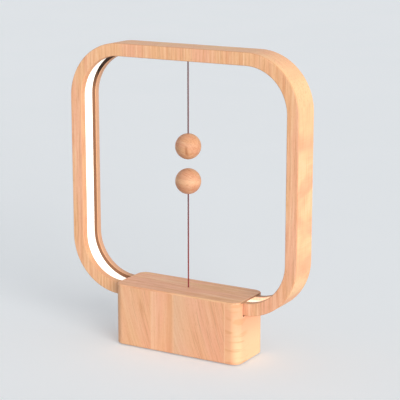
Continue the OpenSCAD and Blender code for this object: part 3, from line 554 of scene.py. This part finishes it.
def plug_outline():
    rim = math.degrees(math.asin((PLUG_R - SEAM) / BALL_R))
    eye = math.degrees(math.asin((CORD_BORE_R + SEAM) / BALL_R))
    rim_z = math.sqrt(BALL_R ** 2 - PLUG_R ** 2) - SEAM
    side = [(CORD_BORE_R, PLUG_SEAT), (PLUG_R, PLUG_SEAT), (PLUG_R, rim_z)]
    return side + arc(BALL_R, rim, eye, 8) + [(CORD_BORE_R, BALL_R - EYE_DROP)]


turned_wood = {}
for which, flip in (("upper", 1), ("lower", -1)):
    low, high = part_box(f"{which}_ball")
    far_end = low if flip > 0 else high
    centre_z = far_end.z / MM + flip * BALL_R
    turned_wood[f"{which}_ball"] = turned(f"{which}_ball_wood", ball_outline(), centre_z, flip)
    turned_wood[f"{which}_ball_plug"] = turned(f"{which}_plug_wood", plug_outline(), centre_z, flip,
                                               steps=48, closed=True)
    print(which, "ball's centre at", round(centre_z, 2), "mm")

# %% Feet
FOOT_R = 4.5
FOOT_T = 1
FOOT_RIM = 0.3
FOOT_AT = (43, 13.5)
DISH_R = 2.6
DISH_RIM_R = 2.9
DISH_DEPTH = 0.12
dish = [(0, DISH_DEPTH), (DISH_R, DISH_DEPTH), (DISH_RIM_R, 0)]
rim = [(FOOT_R - FOOT_RIM + FOOT_RIM * math.sin(a), FOOT_RIM - FOOT_RIM * math.cos(a))
       for a in (math.radians(90 * i / 4) for i in range(5))]
feet = turned("feet_rubber", dish + rim + [(FOOT_R, FOOT_T), (0, FOOT_T)], centre_z=0, steps=40)
bpy.ops.object.mode_set(mode="EDIT")
pick_all()
bpy.ops.transform.translate(value=(-FOOT_AT[0] * MM, -FOOT_AT[1] * MM, 0))
for step in ((2 * FOOT_AT[0], 0, 0), (0, 2 * FOOT_AT[1], 0), (-2 * FOOT_AT[0], 0, 0)):
    bpy.ops.mesh.duplicate_move(TRANSFORM_OT_translate={"value": Vector(step) * MM})
leave_edit_mode()
print("feet:", [round(d / MM, 2) for d in feet.dimensions])

# %% [markdown]
# Each new piece now says which body it moves with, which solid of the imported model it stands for, and which
# finish it takes. The solids inside the base stay as they are packed, because their shapes are right.

# %% Which solids the pieces stand for
for piece, node, body, slot_name in (
        (ring, "ring_frame", "root", "ring_wood"), (glow, "diffuser", "root", "diffuser"),
        (block, "base_block", "root", "base_wood"), (panel, "base_top_panel", "root", "base_wood"),
        (feet, "rubber_feet", "root", "rubber"),
        (turned_wood["upper_ball"], "upper_ball", "upper_ball", "ball_wood"),
        (turned_wood["upper_ball_plug"], "upper_ball_plug", "upper_ball", "ball_wood"),
        (turned_wood["lower_ball"], "lower_ball", "lower_ball", "ball_wood"),
        (turned_wood["lower_ball_plug"], "lower_ball_plug", "lower_ball", "ball_wood")):
    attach(piece, body)
    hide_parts(node)
    print(piece.name, "stands for", node)

# %% [markdown]
# ## Finishes
# A finish is a shader with patterns linked to it. Patterns are sums of noises, so a small class lets them be
# written as sums: it wraps a socket of the shader graph, and each operator adds the Math node it stands for.
# Anything that isn't plain maths comes from one method that makes a node of any type.

# %% Shader maths
class Signal:
    """A socket in a finish's node graph, which can be added, multiplied and so on."""

    def __init__(self, finish, socket):
        self.finish, self.socket = finish, socket

    def maths(self, operation, first, second):
        return self.finish.node("ShaderNodeMath", {"operation": operation}, {0: first, 1: second})

    def __add__(self, other):
        return self.maths("ADD", self, other)

    def __sub__(self, other):
        return self.maths("SUBTRACT", self, other)

    def __rsub__(self, other):
        return self.maths("SUBTRACT", other, self)

    def __mul__(self, other):
        return self.maths("MULTIPLY", self, other)

    def __pow__(self, other):
        return self.maths("POWER", self, other)

    def __abs__(self):
        return self.maths("ABSOLUTE", self, 0)

    def at_least(self, least):
        return self.maths("MAXIMUM", self, least)

    __radd__ = __add__
    __rmul__ = __mul__


class Finish:
    """A material: plain values set on its shader, and patterns linked to it."""

    def __init__(self, name, **plain):
        self.material = bpy.data.materials.new(name)
        self.material.use_nodes = True
        self.graph = self.material.node_tree
        self.shader = self.graph.nodes["Principled BSDF"]
        for socket, value in plain.items():
            self.shader.inputs[socket.replace("_", " ")].default_value = value

    def node(self, kind, settings=None, sockets=None, output=0):
        """Any node: its settings first, then its sockets' values or links."""
        node = self.graph.nodes.new(kind)
        for setting, value in (settings or {}).items():
            if setting == "stops":
                elements = node.color_ramp.elements
                for place, colour in value[1:-1]:
                    elements.new(place).color = colour
                elements[0].position, elements[0].color = value[0]
                elements[-1].position, elements[-1].color = value[-1]
            else:
                setattr(node, setting, value)
        for socket, value in (sockets or {}).items():
            if isinstance(value, Signal):
                self.graph.links.new(value.socket, node.inputs[socket])
            else:
                node.inputs[socket].default_value = value
        return Signal(self, node.outputs[output])

    def link(self, **signals):
        for socket, signal in signals.items():
            self.graph.links.new(signal.socket, self.shader.inputs[socket.replace("_", " ")])

    def place(self, stretch=(1, 1, 1), shift=(0, 0, 0), turn=(0, 0, 0)):
        """Where a point lies on the object, in millimetres times the stretch along each axis."""
        spot = self.node("ShaderNodeTexCoord", output=3)
        turned = self.node("ShaderNodeMapping", None, {"Vector": spot, "Location": shift, "Rotation": turn,
                                                       "Scale": (1000, 1000, 1000)})
        return self.node("ShaderNodeVectorMath", {"operation": "MULTIPLY"}, {0: turned, 1: stretch})

    def axes(self, spot):
        """The three numbers of a spot."""
        parts = self.node("ShaderNodeSeparateXYZ", None, {0: spot}).socket.node
        return [Signal(self, output) for output in parts.outputs]

    def noise(self, spot, detail=2, roughness=0.5, distortion=0):
        """Noise from about 0 to 1, with one feature per unit of the spot."""
        return self.node("ShaderNodeTexNoise", None, {"Vector": spot, "Scale": 1, "Detail": detail,
                                                      "Roughness": roughness, "Distortion": distortion})

    def pattern(self, axes, per_mm, **character):
        """Noise from three signals in millimetres, with that many features per millimetre along each."""
        stretched = [axis * features for axis, features in zip(axes, per_mm)]
        spot = self.node("ShaderNodeCombineXYZ", None, dict(enumerate(stretched)))
        return self.noise(spot, **character)

    def step(self, signal, low, high):
        """0 below low and 1 above high, with a soft step between. Where high is the lesser, 1 below it."""
        return self.node("ShaderNodeMapRange", {"interpolation_type": "SMOOTHSTEP"},
                         {0: signal, 1: low, 2: high})

    def ramp(self, signal, *stops):
        """Colours along a signal."""
        return self.node("ShaderNodeValToRGB", {"stops": stops}, {"Fac": signal})

    def mixed(self, share, first, second):
        """Two colours mixed: share 0 gives the first."""
        return self.node("ShaderNodeMix", {"data_type": "RGBA"}, {0: share, 6: first, 7: second}, output=2)

    def bump(self, height, strength, depth):
        """Height in the finish that tilts the light, depth in millimetres."""
        tilt = self.node("ShaderNodeBump", None,
                         {"Height": height, "Strength": strength, "Distance": depth * MM})
        self.link(Normal=tilt)


def shade(hexadecimal):
    """A colour as it is seen on a screen, such as e8b48c, as the shader wants it."""
    parts = [int(hexadecimal[i:i + 2], 16) / 255 for i in (0, 2, 4)]
    return tuple(p / 12.92 if p <= 0.04045 else ((p + 0.055) / 1.055) ** 2.4 for p in parts) + (1,)


BLACK = (0, 0, 0, 1)
print("e8b48c as light:", [round(v, 3) for v in shade("e8b48c")])

# %% [markdown]
# ## Beech
# Seen closely, the lamp's beech is a warm peach wood. On every front face the grain stands upright, even on
# the ring's top bar, because the ring is cut from one upright board. Broad patches differ in tone, some pink
# and some yellow, darker streaks a few millimetres wide follow the grain, and between them run thin brown
# lines and short flecks. Where the ring turns to the side, and at the base's right end, soft mottles and fine
# lines across show instead, and where the ring turns up or down, end grain with rings and speckle. The wood
# is oiled, so its gloss is low. A picture of wood could be used, but noise stretched along the grain never
# repeats and follows the solid everywhere.

# %% Beech finish
# Some of these tones are painted light and shade: those of the groove, the ring's inside, the slot and the
# panel's ends are painted shade, and the strip's light on the wood is a painted glow.
BEECH = {"pink": "f3b592", "yellow": "f2bc8e", "pale": "fcd0a8", "tan": "e39f72", "line": "b87449",
         "end_pink": "f4b48c", "end_yellow": "f5c694", "end_pale": "f4ca9e", "end_tan": "efac88",
         "end_grain": "8e6850", "inner": "d49c75", "inner_rear": "cb9c7e", "groove": "835a40",
         "groove_top": "1e0f08", "in_strip_light": "b9ab98", "slot": "4a2e1e"}
GRAIN_ALONG_X = (0, math.radians(-90), 0)

# Features per millimetre along x, y and z, where the grain runs along z.
PATCHES = (0.06, 0.05, 0.013)
STREAKS = (0.42, 0.25, 0.014)
FINE = (1.9, 1.6, 0.06)
THIN = (1.1, 0.7, 0.03)
FLECKS = (3.0, 2.6, 0.28)
MOTTLES = (0.05, 0.02, 0.045)
CROSS_LINES = (0.15, 0.06, 1.1)
RINGS = (0.035, 0.42, 0.05)
SPECKLE = (1.3, 1.3, 1)


def beech(name, turn=(0, 0, 0), shift=(0, 0, 0), ends=None, lean=None, lines=None, figure=None,
          tint=(1, 1, 1), glow=0):
    """Wood whose grain runs along z once turned.

    ends says where the pattern of the ends shows, lean how far the lines are shifted along x, lines how
    strong they are, and figure what is special to one piece. Each works from the place on the piece, in
    millimetres. tint is how much of the red, green and blue is left in a darker board, and glow is the
    strength of the light that the figure may add.
    """
    wood = Finish(name, Roughness=0.52, Specular_IOR_Level=0.25, Emission_Strength=glow)
    tones = {tone: tuple(v * left for v, left in zip(shade(code), tint)) + (1,)
             for tone, code in BEECH.items()}
    x, y, z = wood.axes(wood.place(shift=shift, turn=turn))
    leaning = (x + lean(wood, x, z) if lean else x, y, z)

    patches = wood.pattern(leaning, PATCHES)
    streaks = wood.pattern(leaning, STREAKS, detail=3, roughness=0.6, distortion=0.3)
    fine = wood.pattern(leaning, FINE, detail=3, roughness=0.6)
    thin = wood.pattern(leaning, THIN, detail=1)
    flecks = wood.pattern(leaning, FLECKS, detail=1)
    mottles = wood.pattern((x, y, z), MOTTLES, distortion=0.35)
    cross_lines = wood.pattern((x, y, z), CROSS_LINES, detail=3, roughness=0.6)

    if ends:
        at_end = ends(wood, x)
    else:
        facing = wood.axes(wood.node("ShaderNodeTexCoord", output=1))
        at_end = wood.step(abs(facing[1]), 0.8, 0.4)
        at_top = wood.step(abs(facing[2]), 0.55, 0.9)
        rings = wood.pattern((x, y, z), RINGS, detail=3, roughness=0.6, distortion=0.3)
        mottles = mottles * (1 - at_top * 0.75) + (rings * 0.5 + 0.23) * (at_top * 0.75)
        cross_lines = cross_lines * (1 - at_top) + wood.pattern((x, y, z), SPECKLE) * at_top
    grain = (streaks * 0.55 + fine * 0.45) * (1 - at_end) + (mottles * 0.6 + cross_lines * 0.4) * at_end
    hue = wood.step(patches * (1 - at_end) + mottles * at_end, 0.38, 0.62)
    colour = wood.mixed(hue, wood.mixed(at_end, tones["pink"], tones["end_pink"]),
                        wood.mixed(at_end, tones["yellow"], tones["end_yellow"]))
    colour = wood.mixed(wood.step(grain, 0.50, 0.37) * (0.8 - at_end * 0.52), colour, tones["tan"])
    colour = wood.mixed(wood.step(grain, 0.50, 0.64) * (0.8 - at_end * 0.35), colour, tones["pale"])
    if figure:
        colour = figure(wood, colour, tones)
    line = wood.step(thin, 0.56, 0.68) * (lines(wood, x) if lines else 0.25)
    line = line + wood.step(flecks, 0.58, 0.70) * 0.25 * (1 - at_end)
    colour = wood.mixed(line, colour, tones["line"])
    wood.link(Base_Color=colour, Roughness=fine * 0.14 + 0.45)
    wood.bump(fine * 0.6 - flecks * 0.5, 0.2, 0.05)
    return wood.material


# %% [markdown]
# The walls of the ring's groove are painted a darker brown, as painted shade, and higher up almost black, as
# a painted shadow. The faces round the ring's inside are painted a little duller than its front, also as
# painted shade. How deep a spot lies in the ring's section follows from its distance to the run of the
# corners' centres, which is the same sum all the way round. Low on the right the strip's light is painted
# onto the wall, which glows there.

# %% What is special to the ring
RING_MIDDLE_Z = (RING_LOW.z + RING_HIGH.z) / 2
INNER_R = CORNER_R - RING_BAND

# Where the groove's wall darkens into painted shadow, where the strip's light is painted on it, and where the
# outside is paler.
GROOVE_SHADOW_Z = (236, 258)
LIT_X = (40, 50)
LIT_Z = (82, 74)
PALE_CORNER_X = (84, 104)
PALE_CORNER_Z = (205, 228)
PALE_CORNER_TOP_Z = (280, 262)


def ring_figure(wood, colour, tones):
    """Painted shade on the groove walls and the inner faces, a painted glow low on the right, a pale corner
    and a thin line along the outer edges.
    """
    x, y, z = wood.axes(wood.place())
    beyond_x = (abs(x) - CORNER_X).at_least(0)
    beyond_z = (abs(z - RING_MIDDLE_Z) - (HIGH_CORNER_Z - RING_MIDDLE_Z)).at_least(0)
    depth = (beyond_x * beyond_x + beyond_z * beyond_z) ** 0.5 - INNER_R
    off_middle = abs(y)
    rear = wood.step(y, GROOVE_W / 2 + 0.5, GROOVE_W / 2 + 1.5)
    inner_face = wood.step(depth, 0.9, 0.3)
    outer_face = wood.step(depth, RING_BAND - 1, RING_BAND - 0.5)
    edge = wood.step(depth, RING_BAND - 0.7, RING_BAND - 0.3)
    edge = edge * wood.step(off_middle, RING_DEPTH / 2 - 0.9, RING_DEPTH / 2 - 0.5)
    in_groove = wood.step(depth, 0.1, 0.5) * wood.step(depth, GROOVE_DEPTH + 0.4, GROOVE_DEPTH + 0.1)
    in_groove = in_groove * wood.step(off_middle, GROOVE_W / 2 + 0.25, GROOVE_W / 2 + 0.1)
    # Painted light: the strip's glow is painted onto the groove wall low on the right, as emission of the
    # wood.
    lit = in_groove * wood.step(x, *LIT_X) * wood.step(z, *LIT_Z)
    corner = wood.step(x, *PALE_CORNER_X) * wood.step(z, *PALE_CORNER_Z) * wood.step(z, *PALE_CORNER_TOP_Z)
    # Painted shade: the groove's walls are painted dark brown, and almost black higher up as a painted
    # shadow.
    wall = wood.mixed(wood.step(z, *GROOVE_SHADOW_Z), tones["groove"], tones["groove_top"])
    # Painted shade: the faces round the ring's inside are painted duller than its front, the rear ones most.
    inner = wood.mixed(rear, tones["inner"], tones["inner_rear"])
    wood.link(Emission_Color=wood.mixed(lit, BLACK, tones["in_strip_light"]))
    colour = wood.mixed(outer_face * corner * 0.6, colour, tones["end_yellow"])
    colour = wood.mixed(inner_face * (rear * 0.35 + 0.6), colour, inner)
    colour = wood.mixed(in_groove - lit, colour, wall)
    return wood.mixed(edge * 0.35, colour, tones["line"])


# %% [markdown]
# The base is glued up from three staves. Each has its own tone. In the outer two the lines lean over towards
# the right, and more so lower down. Beyond the last glue line the wood shows bands across.

# %% What is special to the base
STAVE_EDGES = (-26, -2, 53)
LEAN = 0.2
LEAN_MORE = 0.0016
GLUE_W = 0.7
CROSS_BANDS = (0.05, 0.04, 0.24)

# Where the strong lines begin, where the end is toned, from its top downwards, and where its bands fade.
LEFT_LINES_X = (-54, -42)
RIGHT_LINES_X = (8, 26)
END_X = (60, 66)
LOW_DOWN_Z = (46, 14)
FRONT_Y = (-2, -16)

# Tones from the base's left to its right.
STAVE_TONES = ((0.0, "ecb58c"), (0.15, "eab68c"), (0.3, "efb08a"),
               (0.32, "f8c2a2"), (0.40, "f4b48e"), (0.47, "dd966a"),
               (0.5, "e0b89c"), (0.62, "ecb494"), (0.88, "eca884"),
               (0.91, "f2b48c"), (1.0, "f4b892"))


def leaning_lines(wood, x, z):
    """How far the lines of the outer staves are shifted at that height."""
    left, right = STAVE_EDGES[:2]
    middle_stave = wood.step(x, left - 0.1, left) * wood.step(x, right, right - 0.1)
    below = BLOCK_HIGH.z - z
    return (below * -LEAN - below * below * LEAN_MORE) * (1 - middle_stave)


def stave_lines(wood, x):
    """The lines are strong in the right half of either outer stave."""
    left = wood.step(x, *LEFT_LINES_X) * wood.step(x, STAVE_EDGES[0], STAVE_EDGES[0] - 1)
    right = wood.step(x, *RIGHT_LINES_X) * wood.step(x, STAVE_EDGES[2], STAVE_EDGES[2] - 1)
    return (left + right) * 0.26 + 0.05


def last_band(wood, x):
    """Where the base's right end begins, beyond the last glue line."""
    return wood.step(x, STAVE_EDGES[2] - 0.3, STAVE_EDGES[2] + 0.3)


def stave_figure(wood, colour, tones):
    """The staves' tones, the pale glue lines between them, the bands of the end and painted shade in the
    slot.
    """
    x, y, z = wood.axes(wood.place())
    along_base = (x - BLOCK_LOW.x) * (1 / BLOCK_SIZE.x)
    board = wood.ramp(along_base, *((place, shade(code)) for place, code in STAVE_TONES))
    end = wood.mixed(wood.step(z, *LOW_DOWN_Z), tones["end_tan"], tones["end_pale"])
    bands = wood.step(wood.pattern((x, y, z), CROSS_BANDS, distortion=0.4), 0.50, 0.66)
    bands = bands * last_band(wood, x) * wood.step(y, *FRONT_Y)
    # Painted shade: the slot's walls are painted dark brown where the ring's bar goes in.
    slot_shade = wood.step(abs(y), SLOT_W / 2 + 1, SLOT_W / 2 + 0.8)
    slot_shade = slot_shade * wood.step(z, RING_LOW.z - 2, RING_LOW.z - 1.5)
    slot_shade = slot_shade * wood.step(abs(x), BLOCK_HIGH.x - 0.1, BLOCK_HIGH.x - 0.3)
    glue = wood.step(abs(x - STAVE_EDGES[0]), GLUE_W, 0.2)
    for edge in STAVE_EDGES[1:]:
        glue = glue + wood.step(abs(x - edge), GLUE_W, 0.2)
    colour = wood.mixed(0.5, colour, board)
    colour = wood.mixed(wood.step(x, *END_X) * 0.75, colour, end)
    colour = wood.mixed(bands * 0.55, colour, tones["tan"])
    colour = wood.mixed(slot_shade, colour, tones["slot"])
    return wood.mixed(glue * 0.5, colour, tones["pale"])


# %% [markdown]
# The balls are turned from a darker board, with the grain lying across. The upper one has a reddish streak
# in front, and the lower one a pale layer through its middle with a darker one under it. The panel on the
# base has its grain along the base, and darker ends: end grain, with painted shade on top of it.

# %% What is special to the balls and the panel
BALL_TINT = (0.74, 0.68, 0.66)
BALL_PALE = shade("f2c69c")
GRAIN_ACROSS = (0, math.radians(75), 0)
STREAK_AT = (4.4, -2.5)
LAYERS_TILT = 0.12
PALE_LAYER_AT = 1.5
DARK_LAYER_AT = -5


def on_ball(wood, middle_z):
    """Where a point lies, counted from the ball's centre."""
    return wood.axes(wood.place(shift=(0, 0, -middle_z)))


def upper_ball_figure(wood, colour, tones):
    """A reddish streak in front."""
    x, y, z = on_ball(wood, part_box("upper_ball")[0].z / MM + BALL_R)
    streak = wood.step(abs(x - STREAK_AT[0]), 1.8, 0.3) * wood.step(abs(z - STREAK_AT[1]), 6, 2)
    return wood.mixed(streak * wood.step(y, 0, -4) * 0.6, colour, tones["line"])


def lower_ball_figure(wood, colour, tones):
    """A pale layer through the middle and a darker one under it."""
    x, _, z = on_ball(wood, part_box("lower_ball")[1].z / MM - BALL_R)
    height = z + x * LAYERS_TILT
    pale_layer = wood.step(abs(height - PALE_LAYER_AT), 3.2, 1.2)
    dark_layer = wood.step(abs(height - DARK_LAYER_AT), 3.0, 1.0)
    colour = wood.mixed(pale_layer * 0.35, colour, BALL_PALE)
    return wood.mixed(dark_layer * 0.2, colour, tones["line"])


def panel_figure(wood, colour, tones):
    """End grain is darker than the board's top, and the ends are painted darker still, as painted shade."""
    x = wood.axes(wood.place())[0]
    # Partly end grain and partly painted shade: the panel's ends are painted dark brown.
    ends = wood.step(abs(x), BLOCK_HIGH.x - 1, BLOCK_HIGH.x - 0.2)
    return wood.mixed(ends * 0.8, colour, tones["end_grain"])


def no_ends(wood, x):
    """Nowhere: the ends' pattern is left off."""
    return 0.0


finishes = {
    "ring_wood": beech("beech_ring", figure=ring_figure, glow=1),
    "base_wood": beech("beech_block", shift=(0, 40, 0), ends=last_band, lean=leaning_lines,
                       lines=stave_lines, figure=stave_figure),
    "base_top": beech("beech_panel", turn=GRAIN_ALONG_X, shift=(0, 90, 0), ends=no_ends,
                      figure=panel_figure),
    "ball_wood": beech("beech_upper_ball", turn=GRAIN_ACROSS, shift=(200, 0, 0), ends=no_ends,
                       tint=BALL_TINT, figure=upper_ball_figure),
    "lower_ball_wood": beech("beech_lower_ball", turn=GRAIN_ACROSS, shift=(260, 0, 0), ends=no_ends,
                             tint=BALL_TINT, figure=lower_ball_figure),
}
print("beech finishes:", sorted(finishes))

# %% [markdown]
# ## Light strip, cords and small parts
# The milky strip is the lamp itself: it gives off light all over, a little warmer in soft patches. The rest
# of the finishes belong to bought-in parts, most of them hidden in the base. They come from three recipes:
# moulded plastic with a fine spark-eroded skin, metal with marks of its making, and yarn.

# %% Recipes
# Heights between which the cord's painted light and shade change, from darker above to brighter below.
PAINTED_CORD_LIGHT_Z = (165, 75)


def moulded(name, colour, roughness, grain, depth=0.02):
    """Plastic or rubber from a mould: a faint mottle and a fine grained skin. grain is in spots per mm."""
    plastic = Finish(name, Roughness=roughness)
    mottle = plastic.noise(plastic.place((0.12, 0.12, 0.12)))
    skin = plastic.noise(plastic.place((grain, grain, grain)), roughness=0.6)
    lighter = tuple(min(1, v * 1.25 + 0.004) for v in colour[:3]) + (1,)
    darker = tuple(v * 0.82 for v in colour[:3]) + (1,)
    plastic.link(Base_Color=plastic.mixed(mottle * 0.6 + skin * 0.4, darker, lighter),
                 Roughness=skin * 0.16 + (roughness - 0.08))
    plastic.bump(skin, 0.3, depth)
    return plastic.material


def metal(name, colour, roughness, marks, depth=0.01, dull=0.25):
    """Metal with marks stretched by how it was made: drawn, turned, plated or cast."""
    part = Finish(name, Metallic=1.0, Roughness=roughness)
    lines = part.noise(part.place(marks), detail=3, roughness=0.65)
    cloud = part.noise(part.place((0.35, 0.35, 0.35)), detail=3)
    dark = tuple(v * 0.72 for v in colour[:3]) + (1,)
    part.link(Base_Color=part.mixed(lines * 0.5 + cloud * 0.5, dark, colour),
              Roughness=cloud * dull + lines * 0.1 + (roughness - 0.1))
    part.bump(lines, 0.3, depth)
    return part.material


def yarn(name, dark, light, low_dark, low_light):
    """Twisted yarn: fine fibres run across the strands at a steep slant, and lint catches the light.

    It is painted brighter low down, near the base, and darker higher up, as painted light and shade.
    """
    cloth = Finish(name, Roughness=0.85, Sheen_Weight=0.25, Sheen_Roughness=0.5)
    x, y, z = cloth.axes(cloth.place())
    slant = z * 3
    fibres = cloth.pattern((x * 6 + slant, y * 6 + slant, z), (1, 1, 1.5), detail=3, roughness=0.7)
    lint = cloth.noise(cloth.place((0.5, 0.5, 0.3)))
    # Painted light and shade: the yarn is painted brighter low down and darker higher up.
    low = cloth.step(z, *PAINTED_CORD_LIGHT_Z)
    cloth.link(Base_Color=cloth.mixed(fibres * 0.7 + lint * 0.3, cloth.mixed(low, dark, low_dark),
                                      cloth.mixed(low, light, low_light)))
    cloth.bump(fibres, 0.5, 0.06)
    return cloth.material


# %% Finishes of the small parts
def lit_strip(name):
    """The milky strip, lit from behind."""
    strip = Finish(name, Roughness=0.55, Emission_Strength=0.65)
    haze = strip.noise(strip.place((0.05, 0.05, 0.05)))
    strip.link(Emission_Color=strip.mixed(haze, shade("fff6e6"), shade("fffdf6")),
               Base_Color=strip.mixed(haze, shade("f4f1e8"), shade("faf8f2")))
    strip.bump(strip.noise(strip.place((3, 3, 3))), 0.1, 0.01)
    return strip.material


# After a colour comes the roughness, then a plastic's grain or a metal's marks, and their depth.
finishes.update({
    "diffuser": lit_strip("lit_diffuser"),
    "cord": yarn("red_yarn", shade("46141c"), shade("7c262c"), shade("6a0f10"), shade("a8241c")),
    "strip": moulded("white_circuit", shade("efece2"), 0.4, 1.2),
    "chips": moulded("phosphor", shade("eed97a"), 0.3, 3.0),
    "screw_steel": metal("zinc_steel", shade("c4c7cb"), 0.32, (2.5, 2.5, 2.5)),
    "ballast_steel": metal("cast_iron", shade("70757a"), 0.6, (1.1, 1.1, 1.1), 0.12),
    "spring_steel": metal("spring_steel", shade("aeb2b8"), 0.3, (6, 6, 0.8)),
    "brass": metal("turned_brass", shade("d3ab58"), 0.28, (0.6, 0.6, 9)),
    "magnet": metal("nickel", shade("cfd1d6"), 0.15, (0.8, 0.8, 0.8), 0.004, 0.1),
    "plate_plastic": moulded("black_plate", shade("343436"), 0.55, 2.2, 0.03),
    "switch_plastic": moulded("black_moulding", shade("2c2c2f"), 0.45, 3.0),
    "plunger": moulded("white_acetal", shade("ece8dd"), 0.35, 2.0),
    "button": moulded("red_button", shade("b8322a"), 0.35, 3.0),
    "board": moulded("green_board", shade("23633c"), 0.35, 0.9),
    "components": moulded("chip_cases", shade("33353a"), 0.5, 3.0),
    "rubber": moulded("rubber", shade("2f2f31"), 0.8, 2.6, 0.04),
    "led_wire": moulded("red_wire", shade("b02c28"), 0.45, 2.0),
    "switch_wire": moulded("black_wire", shade("2a2b2f"), 0.45, 2.0),
})
print("finishes:", len(finishes))

# %% [markdown]
# Each new piece takes the finish it is listed under, and each solid that still shows takes the finish
# that the imported record names for it. The thin panel has a finish of its own, because its grain lies along
# the base, and so has the lower ball, because of its layers.

# %% Dress every piece
def dress(piece, finish):
    piece.data.materials.clear()
    piece.data.materials.append(finish)


worn_by = {
    "ring_wood": [ring], "diffuser": [glow], "base_wood": [block], "base_top": [panel], "rubber": [feet],
    "cord": cords.values(),
    "ball_wood": [turned_wood["upper_ball"], turned_wood["upper_ball_plug"]],
    "lower_ball_wood": [turned_wood["lower_ball"], turned_wood["lower_ball_plug"]],
}
for finish, pieces in worn_by.items():
    for piece in pieces:
        dress(piece, finishes[finish])
for part in frame["record"]["subparts"]:
    dress(frame["nodes"][part["node"]], finishes[part["material_slot"]])

# %% [markdown]
# ## Floor and light
# The lamp stands on a plain pale floor. The lighting is a plain studio's: an even, slightly cool surround,
# and one large soft lamp to the right and low, which makes the faces turned to the right the brightest, as
# on the lamp itself. The surround looks white to the camera and in reflections, and lights the lamp at half
# of that. The floor is lifted a little in the same way, for the camera and reflections alone.

# %% Floor
FLOOR_SIZE = 16
FLOOR_LIFT = 0.22
nothing_selected()
bpy.ops.mesh.primitive_plane_add(size=FLOOR_SIZE)
floor = bpy.context.object
floor.name = "floor"
pale = Finish("pale_floor", Roughness=0.9, Specular_IOR_Level=0.1, Emission_Strength=1)
drift = pale.noise(pale.place((0.004, 0.004, 0.004)))
rays = pale.node("ShaderNodeLightPath").socket.node.outputs
in_view = Signal(pale, rays["Is Camera Ray"]).at_least(Signal(pale, rays["Is Glossy Ray"]))
pale.link(Base_Color=pale.mixed(drift, shade("dfe2e5"), shade("e4e7ea")),
          Emission_Color=pale.mixed(in_view, BLACK, (FLOOR_LIFT, FLOOR_LIFT, FLOOR_LIFT, 1)))
dress(floor, pale.material)

# %% Light
SURROUND = (0.90, 0.95, 1.0, 1)
SURROUND_LIGHT = 0.5
SURROUND_LOOK = 1.0
KEY_STRENGTH = 3.5
KEY_ANGLE = 38
KEY_COLOUR = (1.0, 0.97, 0.92)
KEY_FROM = Vector((0.84, -0.51, 0.18))

world = bpy.data.worlds.new("surround")
world.use_nodes = True
bpy.context.scene.world = world
graph = world.node_tree
rays = graph.nodes.new("ShaderNodeLightPath")
in_view = graph.nodes.new("ShaderNodeMath")
in_view.operation = "MAXIMUM"
graph.links.new(rays.outputs["Is Camera Ray"], in_view.inputs[0])
graph.links.new(rays.outputs["Is Glossy Ray"], in_view.inputs[1])
level = graph.nodes.new("ShaderNodeMix")
level.inputs[2].default_value = SURROUND_LIGHT
level.inputs[3].default_value = SURROUND_LOOK
graph.links.new(in_view.outputs[0], level.inputs[0])
background = graph.nodes["Background"]
background.inputs["Color"].default_value = SURROUND
graph.links.new(level.outputs[0], background.inputs["Strength"])

key_data = bpy.data.lights.new("key", "SUN")
key_data.energy = KEY_STRENGTH
key_data.angle = math.radians(KEY_ANGLE)
key_data.color = KEY_COLOUR
key = bpy.data.objects.new("key", key_data)
key.rotation_euler = KEY_FROM.to_track_quat("Z", "Y").to_euler()
bpy.context.collection.objects.link(key)
bpy.context.scene.view_settings.view_transform = "Standard"
print("light from:", [round(v, 2) for v in KEY_FROM.normalized()])
